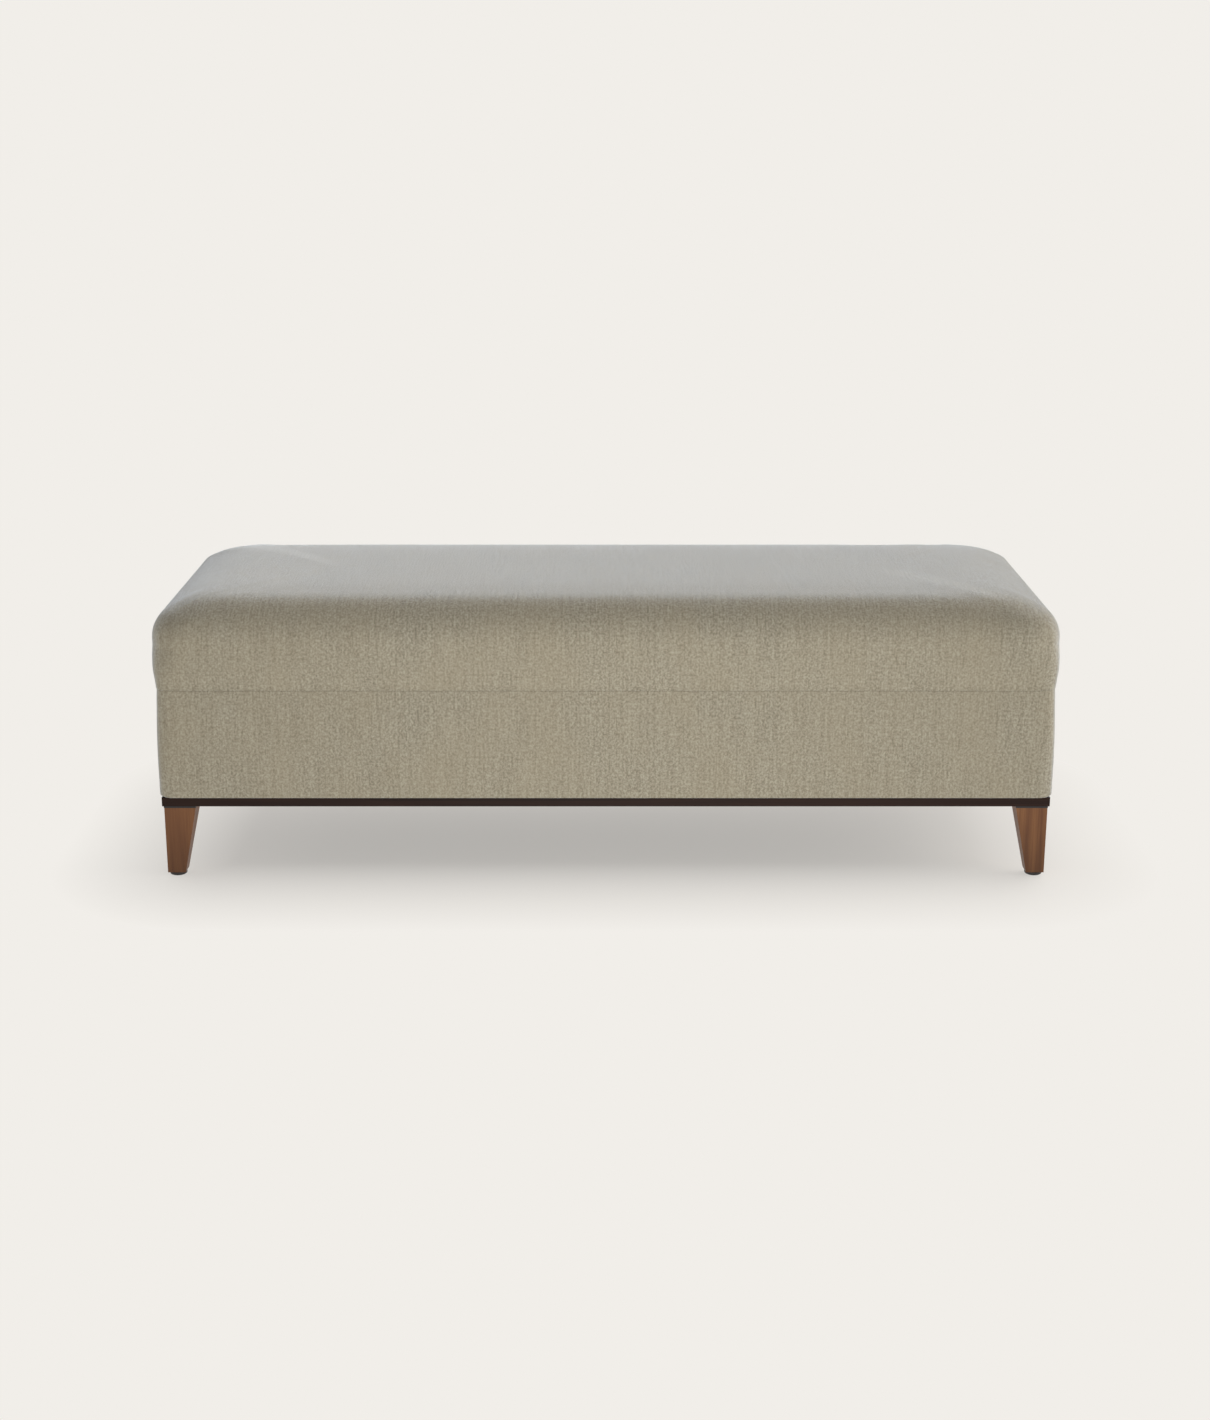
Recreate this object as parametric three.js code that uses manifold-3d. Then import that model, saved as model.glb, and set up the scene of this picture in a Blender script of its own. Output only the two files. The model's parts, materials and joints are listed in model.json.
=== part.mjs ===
// Long upholstered storage ottoman: a fabric-covered plywood box on a dark plinth and four
// tapered legs, with a thick crowned lid on a continuous hinge and a gas strut at each end.
// Millimetres, +Z up, front towards -Y, origin on the floor below the middle of the box.
import * as THREE from "three";
import { mergeVertices } from "three/addons/utils/BufferGeometryUtils.js";
import Module from "manifold-3d";

const wasm = await Module();
wasm.setup();

// ---------- driving dimensions ----------

const WIDTH = 1450; // over the widest line of the lid
const DEPTH = 550;
const GAP = 0.3; // between pieces that touch
const JOIN = 0.1; // how far the parts of one solid run into each other
const OVERRUN = 1; // of a hole's cutter past the face it breaks through

// Levels above the floor
const GLIDE_HEIGHT = 6;
const LEG_TOP = 117;
const PLINTH_BOTTOM = 120;
const PLINTH_TOP = 135;
const RIM_TOP = 311.7; // covered rim of the box
const LID_BOTTOM = 316.3; // covered underside of the lid frame
const LID_WIDEST = 379;
const LID_SHOULDER = 389; // where the side of the lid starts to curve over
const LID_TOP = 456.5; // flat middle of the lid

// Insets of faces from the widest line of the lid
const COVER_INSET_BOTTOM = 5;
const COVER_INSET_MIDDLE = 4.8;
const COVER_INSET_RIM = 8.7;
const LID_INSET_BOTTOM = 7.8;
const CARCASS_INSET = 18.5;
const LID_RAIL_INSET = 20;
const PLINTH_INSET = 10.5;
const LEG_SIDE_INSET = 13.5;
const LEG_FRONT_INSET = 12;

// Rounding
const BOX_CORNER = 26;
const LID_CORNER_BOTTOM = 26;
const LID_CORNER_WIDEST = 65;
const LID_CORNER_TOP = 50;
const DECK_CORNER = 30;
const FOLD_CORNER = 3;
const LIP = 2; // soft edge where the cloth turns over the rim
const SHOULDER_POWER = 6.3; // how soon the top of the lid flattens towards its middle
const SHOULDER_ROOT = 2.15; // how round the lid's shoulder starts
const ROUND = 16; // segments of a round piece
const SMALL_ROUND = 12;

// Sheet and board
const CLOTH = 1.6;
const PAD_CLEARANCE = 14; // of a box pad from the corners and the rim
const LID_PAD_CLEARANCE = 24; // of a lid pad from the corners
const LID_PAD_LIFT = 4;
const PANEL = 15;
const BOTTOM_PANEL = 12;
const LINING = 1.5;
const LID_RAIL = 18;
const LID_DECK = 12;
const PLINTH_WIDTH = 56;
const DUST_COVER = 1;
const DUST_COVER_CLEARANCE = 2;

// Legs and their fixings
const LEG_TOP_SIZE = 50.5;
const LEG_FOOT_SIZE = 29;
const LEG_PLATE_MARGIN = 0.5; // of the mounting plate beyond the head of the leg
const BOLT_RADIUS = 3;
const BOLT_INSET = 33; // of the bolt from the outer faces of the leg
const BOLT_DEPTH_IN_LEG = 30;
const NAIL_RADIUS = 1.5;
const NAIL_LENGTH = 16;

// Radius and height up the glide: a flat foot with a rounded edge
const GLIDE_PROFILE = [
  [0, 0],
  [9.5, 0],
  [12.6, 1.6],
  [13.8, 4],
  [13.8, GLIDE_HEIGHT],
];

// Continuous hinge along the back rim
const HINGE_Y = DEPTH / 2 - 6.5;
const HINGE_Z = (RIM_TOP + LID_BOTTOM) / 2;
const HINGE_LENGTH = 1380;
const KNUCKLES = 19;
const KNUCKLE_RADIUS = 2;
const PIN_RADIUS = 1.05;
const PIN_BORE = 1.15;
const LEAF = 1;
const LEAF_WIDTH = 21;
const KNUCKLE_CLEARANCE = 0.5;

// Gas struts: both pivots are given from the hinge axis, forwards and up
const STRUT_X = 675;
const STRUT_FOOT = { forward: 150, up: -118 };
const STRUT_HEAD = { forward: 75, up: 40 };
const CYLINDER_RADIUS = 8;
const CYLINDER_LENGTH = 146;
const CYLINDER_START = 12; // above the foot pivot
const CYLINDER_CHAMFER = 1.5;
const CYLINDER_BORE = 4.1;
const BORE_START = 20;
const NECK_RADIUS = 4.5;
const ROD_RADIUS = 3.6;
const ROD_START = 24;
const EYE_RADIUS = 7;
const EYE_WIDTH = 8;
const STUD_RADIUS = 3.5;
const BOSS_RADIUS = 5.5;
const BOSS_CLEARANCE = 0.6; // between the boss and the head eye
const BRACKET = 2.5;
const FOOT_PLATE = { halfWidth: 14, halfHeight: 22 };
const HEAD_PLATE = { halfWidth: 24, halfHeight: 12 };

// Bumpers stand on the middle line of the covered rim
const BUMPER_RADIUS = 7;
const BUMPER_HEIGHT = 4;
const BUMPER_EDGE = 2;
const BUMPER_INSET = 27;
const BUMPER_FROM_END = 60; // front pair
const BUMPER_FROM_BACK = 75.5; // back pair

const CORNERS = [
  ["front_left", -1, -1],
  ["front_right", 1, -1],
  ["back_left", -1, 1],
  ["back_right", 1, 1],
];
const SIDES = [
  ["left", -1],
  ["right", 1],
];

// ---------- materials ----------

function finish(color, roughness, metalness = 0) {
  return new THREE.MeshStandardMaterial({ color, roughness, metalness });
}

const FABRIC = finish(0x9a937f, 0.95);
const WADDING = finish(0xe9e6dc, 1);
const FOAM = finish(0xe6dcae, 1);
const LINING_CLOTH = finish(0x55504a, 0.95);
const BLACK_CLOTH = finish(0x1d1c1c, 1);
const PLYWOOD = finish(0xc8a878, 0.7);
const WALNUT = finish(0x6d4a30, 0.45);
const ESPRESSO = finish(0x2b201d, 0.4);
const STEEL = finish(0xa9abad, 0.35, 1);
const BLACK_STEEL = finish(0x1a1a1b, 0.4, 0.6);
const DARK_NYLON = finish(0x201d1b, 0.6);
const RUBBER = finish(0x2a2927, 0.9);

// ---------- solids ----------

const ottoman = new THREE.Group();
ottoman.name = "storage_ottoman";

function place(name, geometry, material, x = 0, y = 0, z = 0, parent = ottoman) {
  const mesh = new THREE.Mesh(geometry, material);
  mesh.name = name;
  mesh.position.set(x, y, z);
  parent.add(mesh);
  return mesh;
}

// Closed triangle surface as a manifold-3d solid, and back again.
function toSolid(geometry) {
  const bare = geometry.clone();
  bare.deleteAttribute("normal");
  bare.deleteAttribute("uv");
  const merged = mergeVertices(bare, 1e-3);
  const mesh = new wasm.Mesh({
    numProp: 3,
    vertProperties: merged.attributes.position.array,
    triVerts: new Uint32Array(merged.index.array),
  });
  return new wasm.Manifold(mesh);
}

function toGeometry(solid) {
  const mesh = solid.getMesh();
  const geometry = new THREE.BufferGeometry();
  geometry.setAttribute("position", new THREE.BufferAttribute(mesh.vertProperties, 3));
  geometry.setIndex(new THREE.BufferAttribute(mesh.triVerts, 1));
  geometry.computeVertexNormals();
  return geometry;
}

function joined(first, ...others) {
  return toGeometry(others.reduce((sum, next) => sum.add(toSolid(next)), toSolid(first)));
}

function cut(body, ...tools) {
  return toGeometry(tools.reduce((rest, tool) => rest.subtract(toSolid(tool)), toSolid(body)));
}

function box(x0, x1, y0, y1, z0, z1) {
  const geometry = new THREE.BoxGeometry(x1 - x0, y1 - y0, z1 - z0);
  return geometry.translate((x0 + x1) / 2, (y0 + y1) / 2, (z0 + z1) / 2);
}

// Upright cylinder from z0 to z1.
function post(radius, z0, z1, x = 0, y = 0, segments = ROUND) {
  const geometry = new THREE.CylinderGeometry(radius, radius, z1 - z0, segments);
  return geometry.rotateX(Math.PI / 2).translate(x, y, (z0 + z1) / 2);
}

// Cylinder along X from x0 to x1.
function crossBar(radius, x0, x1, y = 0, z = 0, segments = ROUND) {
  const low = Math.min(x0, x1);
  const high = Math.max(x0, x1);
  const geometry = new THREE.CylinderGeometry(radius, radius, high - low, segments);
  return geometry.rotateZ(Math.PI / 2).translate((low + high) / 2, y, z);
}

// Solid turned about Z from a list of [radius, z] that starts and ends on the axis.
function turned(profile) {
  const points = profile.map(([r, z]) => new THREE.Vector2(r, z));
  return new THREE.LatheGeometry(points, ROUND).rotateX(Math.PI / 2);
}

// Corner points of a rounded rectangle, anticlockwise from above.
const CORNER_STEPS = 6;

function roundedLoop(halfWidth, halfDepth, radius) {
  const loop = [];
  const signs = [[1, -1], [1, 1], [-1, 1], [-1, -1]];
  signs.forEach(([sx, sy], corner) => {
    for (let step = 0; step <= CORNER_STEPS; step++) {
      const angle = (corner - 1 + step / CORNER_STEPS) * (Math.PI / 2);
      const x = sx * (halfWidth - radius) + radius * Math.cos(angle);
      const y = sy * (halfDepth - radius) + radius * Math.sin(angle);
      loop.push([x, y]);
    }
  });
  return loop;
}

// Surface through rounded rectangles. Each level is [inset from the widest line, z, corner
// radius]. An open run of levels is capped flat at both ends; a closed one makes a ring.
function loft(levels, closed = false) {
  const loops = levels.map(([inset, z, radius]) =>
    roundedLoop(WIDTH / 2 - inset, DEPTH / 2 - inset, radius).map(([x, y]) => [x, y, z]),
  );
  const count = loops[0].length;
  const points = loops.flat(2);
  const triangles = [];
  const spans = closed ? loops.length : loops.length - 1;
  for (let i = 0; i < spans; i++) {
    const lower = i * count;
    const upper = ((i + 1) % loops.length) * count;
    for (let j = 0; j < count; j++) {
      const k = (j + 1) % count;
      triangles.push(lower + j, lower + k, upper + k);
      triangles.push(lower + j, upper + k, upper + j);
    }
  }
  if (!closed) {
    const last = (loops.length - 1) * count;
    for (let j = 1; j < count - 1; j++) {
      triangles.push(0, j + 1, j);
      triangles.push(last, last + j, last + j + 1);
    }
  }
  const geometry = new THREE.BufferGeometry();
  geometry.setAttribute("position", new THREE.Float32BufferAttribute(points, 3));
  geometry.setIndex(triangles);
  return geometry;
}

// ---------- plinth, legs and feet ----------

function addPlinth() {
  const x = WIDTH / 2 - PLINTH_INSET;
  const y = DEPTH / 2 - PLINTH_INSET;
  const z0 = PLINTH_BOTTOM;
  const z1 = PLINTH_TOP;
  const rail = (halfLength, halfSpan) => {
    const shape = new THREE.Shape();
    shape.moveTo(-halfLength + GAP, -halfSpan);
    shape.lineTo(halfLength - GAP, -halfSpan);
    shape.lineTo(halfLength - PLINTH_WIDTH - GAP, -halfSpan + PLINTH_WIDTH);
    shape.lineTo(-halfLength + PLINTH_WIDTH + GAP, -halfSpan + PLINTH_WIDTH);
    const options = { depth: z1 - z0 - GAP, bevelEnabled: false };
    return new THREE.ExtrudeGeometry(shape, options).translate(0, 0, z0);
  };
  const holes = CORNERS.map(([, sx, sy]) => boltPosition(sx, sy)).map(([bx, by]) =>
    post(BOLT_RADIUS + GAP, z0 - OVERRUN, z1 + OVERRUN, bx, by, SMALL_ROUND),
  );
  place("plinth_front", cut(rail(x, y), ...holes), ESPRESSO);
  place("plinth_back", cut(rail(x, y).rotateZ(Math.PI), ...holes), ESPRESSO);
  place("plinth_left", cut(rail(y, x).rotateZ(-Math.PI / 2), ...holes), ESPRESSO);
  place("plinth_right", cut(rail(y, x).rotateZ(Math.PI / 2), ...holes), ESPRESSO);
}

// The bolt stands far enough in to pass the carcass panels above the leg. It runs up from the leg
// through its mounting plate and the plinth into the bottom panel.
function boltPosition(sx, sy) {
  const x = sx * (WIDTH / 2 - LEG_SIDE_INSET - BOLT_INSET);
  const y = sy * (DEPTH / 2 - LEG_FRONT_INSET - BOLT_INSET);
  return [x, y];
}

// The glide stands in the middle of the leg's foot.
function glidePosition(sx, sy) {
  const x = sx * (WIDTH / 2 - LEG_SIDE_INSET - LEG_FOOT_SIZE / 2);
  const y = sy * (DEPTH / 2 - LEG_FRONT_INSET - LEG_FOOT_SIZE / 2);
  return [x, y];
}

// Square leg whose two outer faces are upright and whose inner faces taper to the foot.
function legShape(sx, sy) {
  const outerX = sx * (WIDTH / 2 - LEG_SIDE_INSET);
  const outerY = sy * (DEPTH / 2 - LEG_FRONT_INSET);
  const square = (size, z) => {
    const innerX = outerX - sx * size;
    const innerY = outerY - sy * size;
    return [
      [outerX, outerY, z],
      [innerX, outerY, z],
      [innerX, innerY, z],
      [outerX, innerY, z],
    ];
  };
  const foot = square(LEG_FOOT_SIZE, GLIDE_HEIGHT + GAP);
  const head = square(LEG_TOP_SIZE, LEG_TOP - GAP);
  const faces = [
    [3, 2, 1, 0],
    [4, 5, 6, 7],
    [0, 1, 5, 4],
    [1, 2, 6, 5],
    [2, 3, 7, 6],
    [3, 0, 4, 7],
  ];
  const triangles = faces.flatMap(([a, b, c, d]) =>
    sx * sy > 0 ? [a, b, c, a, c, d] : [a, c, b, a, d, c],
  );
  const geometry = new THREE.BufferGeometry();
  geometry.setAttribute("position", new THREE.Float32BufferAttribute([...foot, ...head].flat(), 3));
  geometry.setIndex(triangles);
  return geometry;
}

function addLegs() {
  const boltFoot = LEG_TOP - BOLT_DEPTH_IN_LEG;
  const boltTop = PLINTH_TOP + BOTTOM_PANEL - OVERRUN;
  const nailTop = GLIDE_HEIGHT + NAIL_LENGTH;
  for (const [corner, sx, sy] of CORNERS) {
    const [bx, by] = boltPosition(sx, sy);
    const [gx, gy] = glidePosition(sx, sy);
    const boltHole = post(BOLT_RADIUS + GAP, boltFoot - GAP, LEG_TOP + OVERRUN, bx, by, SMALL_ROUND);
    const nailHole = post(NAIL_RADIUS + GAP, 0, nailTop + GAP, gx, gy, SMALL_ROUND);
    place(`leg_${corner}`, cut(legShape(sx, sy), boltHole, nailHole), WALNUT);
    place(`leg_bolt_${corner}`, post(BOLT_RADIUS, boltFoot, boltTop, 0, 0, SMALL_ROUND), STEEL, bx, by);
    place(`leg_plate_${corner}`, legPlate(sx, sy), BLACK_STEEL);
    place(`glide_${corner}`, glide(nailTop), DARK_NYLON, gx, gy);
  }
}

// Thin mounting plate between the head of the leg and the plinth.
function legPlate(sx, sy) {
  const outerX = WIDTH / 2 - LEG_SIDE_INSET + LEG_PLATE_MARGIN;
  const outerY = DEPTH / 2 - LEG_FRONT_INSET + LEG_PLATE_MARGIN;
  const size = LEG_TOP_SIZE + 2 * LEG_PLATE_MARGIN;
  const [bx, by] = boltPosition(sx, sy);
  const x = [sx * outerX, sx * (outerX - size)].sort((a, b) => a - b);
  const y = [sy * outerY, sy * (outerY - size)].sort((a, b) => a - b);
  const plate = box(...x, ...y, LEG_TOP, PLINTH_BOTTOM - GAP);
  const hole = post(BOLT_RADIUS + GAP, LEG_TOP - OVERRUN, PLINTH_BOTTOM + OVERRUN, bx, by, SMALL_ROUND);
  return cut(plate, hole);
}

// Low domed foot with the nail that holds it in the leg.
function glide(nailTop) {
  const nail = [
    [NAIL_RADIUS, GLIDE_HEIGHT],
    [NAIL_RADIUS, nailTop],
    [0, nailTop],
  ];
  return turned([...GLIDE_PROFILE, ...nail]);
}

// ---------- box ----------

const CARCASS_X = WIDTH / 2 - CARCASS_INSET;
const CARCASS_Y = DEPTH / 2 - CARCASS_INSET;
const INNER_X = CARCASS_X - PANEL;
const INNER_Y = CARCASS_Y - PANEL;
const PANEL_TOP = RIM_TOP - CLOTH - GAP;
const TURN_DOWN = 18; // cover turned down inside the rim
const RIM_ROLL = 13; // height over which the cover pulls in towards the rim
const RIM_TAPER = 2.5; // how much it pulls in there

function addCarcass() {
  const z0 = PLINTH_TOP;
  place("front_panel", box(-CARCASS_X, CARCASS_X, -CARCASS_Y, -INNER_Y, z0, PANEL_TOP), PLYWOOD);
  place("back_panel", box(-CARCASS_X, CARCASS_X, INNER_Y, CARCASS_Y, z0, PANEL_TOP), PLYWOOD);
  const end = INNER_Y - GAP;
  place("left_panel", box(-CARCASS_X, -INNER_X, -end, end, z0, PANEL_TOP), PLYWOOD);
  place("right_panel", box(INNER_X, CARCASS_X, -end, end, z0, PANEL_TOP), PLYWOOD);
  const x = INNER_X - GAP;
  const y = INNER_Y - GAP;
  const board = box(-x, x, -y, y, z0, z0 + BOTTOM_PANEL);
  const holes = CORNERS.map(([, sx, sy]) => boltPosition(sx, sy)).map(([bx, by]) =>
    post(BOLT_RADIUS + GAP, z0 - OVERRUN, z0 + BOTTOM_PANEL + OVERRUN, bx, by, SMALL_ROUND),
  );
  place("bottom_panel", cut(board, ...holes), PLYWOOD);
}

function addBasePads() {
  const inner = CARCASS_INSET - GAP;
  const outer = COVER_INSET_RIM + CLOTH - RIM_TAPER + GAP;
  const x = WIDTH / 2;
  const y = DEPTH / 2;
  const long = CARCASS_X - PAD_CLEARANCE;
  const short = CARCASS_Y - PAD_CLEARANCE;
  const z0 = PLINTH_TOP + 2 * GAP;
  const z1 = RIM_TOP - PAD_CLEARANCE;
  place("base_pad_front", box(-long, long, -y + outer, -y + inner, z0, z1), WADDING);
  place("base_pad_back", box(-long, long, y - inner, y - outer, z0, z1), WADDING);
  place("base_pad_left", box(-x + outer, -x + inner, -short, short, z0, z1), WADDING);
  place("base_pad_right", box(x - inner, x - outer, -short, short, z0, z1), WADDING);
}

// Fabric sleeve: down the outside, over the rim and a little way down the inside.
function addBaseCover() {
  const z0 = PLINTH_TOP + 2 * GAP;
  const middle = (PLINTH_TOP + RIM_TOP) / 2;
  const nearRim = RIM_TOP - RIM_ROLL;
  const inside = CARCASS_INSET + PANEL + GAP;
  const underLip = RIM_TOP - CLOTH;
  const turnEnd = RIM_TOP - TURN_DOWN;
  const levels = [
    [COVER_INSET_BOTTOM, z0, BOX_CORNER],
    [COVER_INSET_MIDDLE, middle, BOX_CORNER],
    [COVER_INSET_RIM - RIM_TAPER, nearRim, BOX_CORNER],
    [COVER_INSET_RIM, RIM_TOP - LIP, BOX_CORNER],
    [COVER_INSET_RIM + LIP, RIM_TOP, BOX_CORNER - LIP],
    [inside + CLOTH, RIM_TOP, FOLD_CORNER],
    [inside + CLOTH, turnEnd, FOLD_CORNER],
    [inside, turnEnd, FOLD_CORNER],
    [inside, underLip, FOLD_CORNER],
    [COVER_INSET_RIM + CLOTH, underLip, BOX_CORNER - LIP],
    [COVER_INSET_RIM + CLOTH - RIM_TAPER, nearRim, BOX_CORNER - CLOTH],
    [COVER_INSET_MIDDLE + CLOTH, middle, BOX_CORNER - CLOTH],
    [COVER_INSET_BOTTOM + CLOTH, z0, BOX_CORNER - CLOTH],
  ];
  place("base_cover", loft(levels, true), FABRIC);
}

const FLOOR_TOP = PLINTH_TOP + BOTTOM_PANEL + GAP;

// Cloth-covered tray that lines the floor and walls of the storage space.
function addStorageLining() {
  const inset = CARCASS_INSET + PANEL + GAP;
  const top = RIM_TOP - TURN_DOWN - GAP;
  const levels = [
    [inset, FLOOR_TOP, FOLD_CORNER],
    [inset, top, FOLD_CORNER],
    [inset + LINING, top, FOLD_CORNER - LINING],
    [inset + LINING, FLOOR_TOP + LINING, FOLD_CORNER - LINING],
  ];
  place("storage_lining", loft(levels), LINING_CLOTH);
}

function addDustCover() {
  const inset = PLINTH_INSET + PLINTH_WIDTH + DUST_COVER_CLEARANCE;
  const x = WIDTH / 2 - inset;
  const y = DEPTH / 2 - inset;
  const top = PLINTH_TOP - GAP;
  place("dust_cover", box(-x, x, -y, y, top - DUST_COVER, top), BLACK_CLOTH);
}

// Four low rubber domes keep the lid off the box: the front pair on the front rim, the back pair
// on the end rims.
function addBumpers() {
  const z = RIM_TOP + GAP;
  const profile = [
    [0, 0],
    [BUMPER_RADIUS, 0],
    [BUMPER_RADIUS, BUMPER_HEIGHT - BUMPER_EDGE],
    [BUMPER_RADIUS - BUMPER_EDGE, BUMPER_HEIGHT],
    [0, BUMPER_HEIGHT],
  ];
  for (const [corner, sx, sy] of CORNERS) {
    const x = WIDTH / 2 - (sy < 0 ? BUMPER_FROM_END : BUMPER_INSET);
    const y = DEPTH / 2 - (sy < 0 ? BUMPER_INSET : BUMPER_FROM_BACK);
    place(`bumper_${corner}`, turned(profile), RUBBER, sx * x, sy * y, z);
  }
}

// ---------- lid ----------

const RAIL_X = WIDTH / 2 - LID_RAIL_INSET;
const RAIL_Y = DEPTH / 2 - LID_RAIL_INSET;
const RAIL_BOTTOM = LID_BOTTOM + CLOTH + GAP;
const DECK_BOTTOM = 374;
const DECK_TOP = DECK_BOTTOM + LID_DECK;

function addLidFrame() {
  const x = RAIL_X;
  const y = RAIL_Y;
  const z0 = RAIL_BOTTOM;
  const z1 = DECK_BOTTOM - GAP;
  const end = y - LID_RAIL - GAP;
  place("lid_rail_front", box(-x, x, -y, -y + LID_RAIL, z0, z1), PLYWOOD);
  place("lid_rail_back", box(-x, x, y - LID_RAIL, y, z0, z1), PLYWOOD);
  place("lid_rail_left", box(-x, -x + LID_RAIL, -end, end, z0, z1), PLYWOOD);
  place("lid_rail_right", box(x - LID_RAIL, x, -end, end, z0, z1), PLYWOOD);
  const deck = [DECK_BOTTOM, DECK_TOP].map((z) => [LID_RAIL_INSET, z, DECK_CORNER]);
  place("lid_deck", loft(deck), PLYWOOD);
}

function addLidPads() {
  const x = RAIL_X + GAP;
  const y = RAIL_Y + GAP;
  const thick = LID_RAIL_INSET - LID_INSET_BOTTOM - CLOTH - 2 * GAP;
  const long = RAIL_X - LID_PAD_CLEARANCE;
  const short = RAIL_Y - LID_PAD_CLEARANCE;
  const z0 = RAIL_BOTTOM + LID_PAD_LIFT;
  const z1 = DECK_TOP;
  place("lid_pad_front", box(-long, long, -y - thick, -y, z0, z1), WADDING);
  place("lid_pad_back", box(-long, long, y, y + thick, z0, z1), WADDING);
  place("lid_pad_left", box(-x - thick, -x, -short, short, z0, z1), WADDING);
  place("lid_pad_right", box(x, x + thick, -short, short, z0, z1), WADDING);
}

// Levels of the lid's outer form from its shoulder up to the flat middle, moved in by shrink.
const SHOULDER_STEPS = 10;
const FLAT_TOP_INSET = DEPTH / 2 - 90;

function lidLevels(shrink) {
  const levels = [];
  for (let i = 0; i <= SHOULDER_STEPS; i++) {
    const part = (i / SHOULDER_STEPS) ** 2;
    const towardsMiddle = (part * FLAT_TOP_INSET) / (DEPTH / 2);
    const fall = (1 - towardsMiddle) ** SHOULDER_POWER;
    const rise = i < SHOULDER_STEPS ? (1 - fall) ** (1 / SHOULDER_ROOT) : 1;
    const inset = shrink + (FLAT_TOP_INSET - shrink) * part;
    const z = LID_SHOULDER + (LID_TOP - shrink - LID_SHOULDER) * rise;
    const radius = LID_CORNER_WIDEST + (LID_CORNER_TOP - LID_CORNER_WIDEST) * part;
    levels.push([inset, z, radius - shrink]);
  }
  return levels;
}

function addLidFoam() {
  const shrink = CLOTH + GAP;
  const foot = [shrink + GAP, DECK_TOP + GAP, LID_CORNER_WIDEST - shrink];
  place("lid_foam", loft([foot, ...lidLevels(shrink)]), FOAM);
}

// Fabric skin: from the flat middle down over the edge, under the frame and up inside it.
function addLidCover() {
  const inside = LID_RAIL_INSET + LID_RAIL + GAP;
  const turnTop = LID_BOTTOM + TURN_DOWN;
  const overLip = LID_BOTTOM + CLOTH;
  const middle = (LID_BOTTOM + LID_WIDEST) / 2;
  const wall = [
    [LID_INSET_BOTTOM + LIP, LID_BOTTOM, LID_CORNER_BOTTOM - LIP],
    [LID_INSET_BOTTOM, LID_BOTTOM + LIP, LID_CORNER_BOTTOM],
    [LID_INSET_BOTTOM / 4, middle, (LID_CORNER_BOTTOM + LID_CORNER_WIDEST) / 2],
    [0, LID_WIDEST, LID_CORNER_WIDEST],
  ];
  const wallInside = wall.map(([inset, z, radius]) => [
    inset + CLOTH,
    Math.max(z, overLip),
    radius - CLOTH,
  ]);
  const levels = [
    ...lidLevels(CLOTH).reverse(),
    ...wallInside.reverse(),
    [inside, overLip, FOLD_CORNER],
    [inside, turnTop, FOLD_CORNER],
    [inside + CLOTH, turnTop, FOLD_CORNER],
    [inside + CLOTH, LID_BOTTOM, FOLD_CORNER],
    ...wall,
    ...lidLevels(0),
  ];
  place("lid_cover", loft(levels), FABRIC);
}

function addLidLining() {
  const inset = LID_RAIL_INSET + LID_RAIL + GAP;
  const x = WIDTH / 2 - inset;
  const y = DEPTH / 2 - inset;
  const top = DECK_BOTTOM - GAP;
  place("lid_lining", box(-x, x, -y, y, top - LINING, top), LINING_CLOTH);
}

// ---------- continuous hinge ----------

// Plate of one leaf with its share of the knuckles, side -1 for the box and 1 for the lid.
function leafGeometry(side) {
  const pitch = HINGE_LENGTH / KNUCKLES;
  const start = -HINGE_LENGTH / 2;
  const inner = -LEAF_WIDTH;
  const faces = [side * (KNUCKLE_RADIUS - LEAF), side * KNUCKLE_RADIUS];
  const z0 = Math.min(...faces);
  const z1 = Math.max(...faces);
  const clearOfKnuckles = -KNUCKLE_RADIUS - KNUCKLE_CLEARANCE;
  const plate = box(start, -start, inner, clearOfKnuckles, z0, z1);
  const pieces = [];
  for (let i = 0; i < KNUCKLES; i++) {
    if ((i % 2 === 0) !== (side < 0)) continue;
    const x0 = start + i * pitch + GAP / 2;
    const x1 = start + (i + 1) * pitch - GAP / 2;
    pieces.push(crossBar(KNUCKLE_RADIUS, x0, x1, 0, 0, SMALL_ROUND));
    pieces.push(box(x0, x1, clearOfKnuckles - JOIN, 0, z0, z1));
  }
  const bore = crossBar(PIN_BORE, start - OVERRUN, OVERRUN - start, 0, 0, SMALL_ROUND);
  return cut(joined(plate, ...pieces), bore);
}

function addHinge() {
  place("hinge_base_leaf", leafGeometry(-1), STEEL, 0, HINGE_Y, HINGE_Z);
  place("hinge_lid_leaf", leafGeometry(1), STEEL, 0, HINGE_Y, HINGE_Z);
  const half = HINGE_LENGTH / 2;
  const pin = crossBar(PIN_RADIUS, -half, half, 0, 0, SMALL_ROUND);
  place("hinge_pin", pin, STEEL, 0, HINGE_Y, HINGE_Z);
}

// ---------- gas struts ----------

const FOOT_Y = HINGE_Y - STRUT_FOOT.forward;
const FOOT_Z = HINGE_Z + STRUT_FOOT.up;
const HEAD_Y = HINGE_Y - STRUT_HEAD.forward;
const HEAD_Z = HINGE_Z + STRUT_HEAD.up;
const STRUT_LENGTH = Math.hypot(HEAD_Y - FOOT_Y, HEAD_Z - FOOT_Z);
const STRUT_LEAN = Math.atan2(HEAD_Y - FOOT_Y, HEAD_Z - FOOT_Z);

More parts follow.
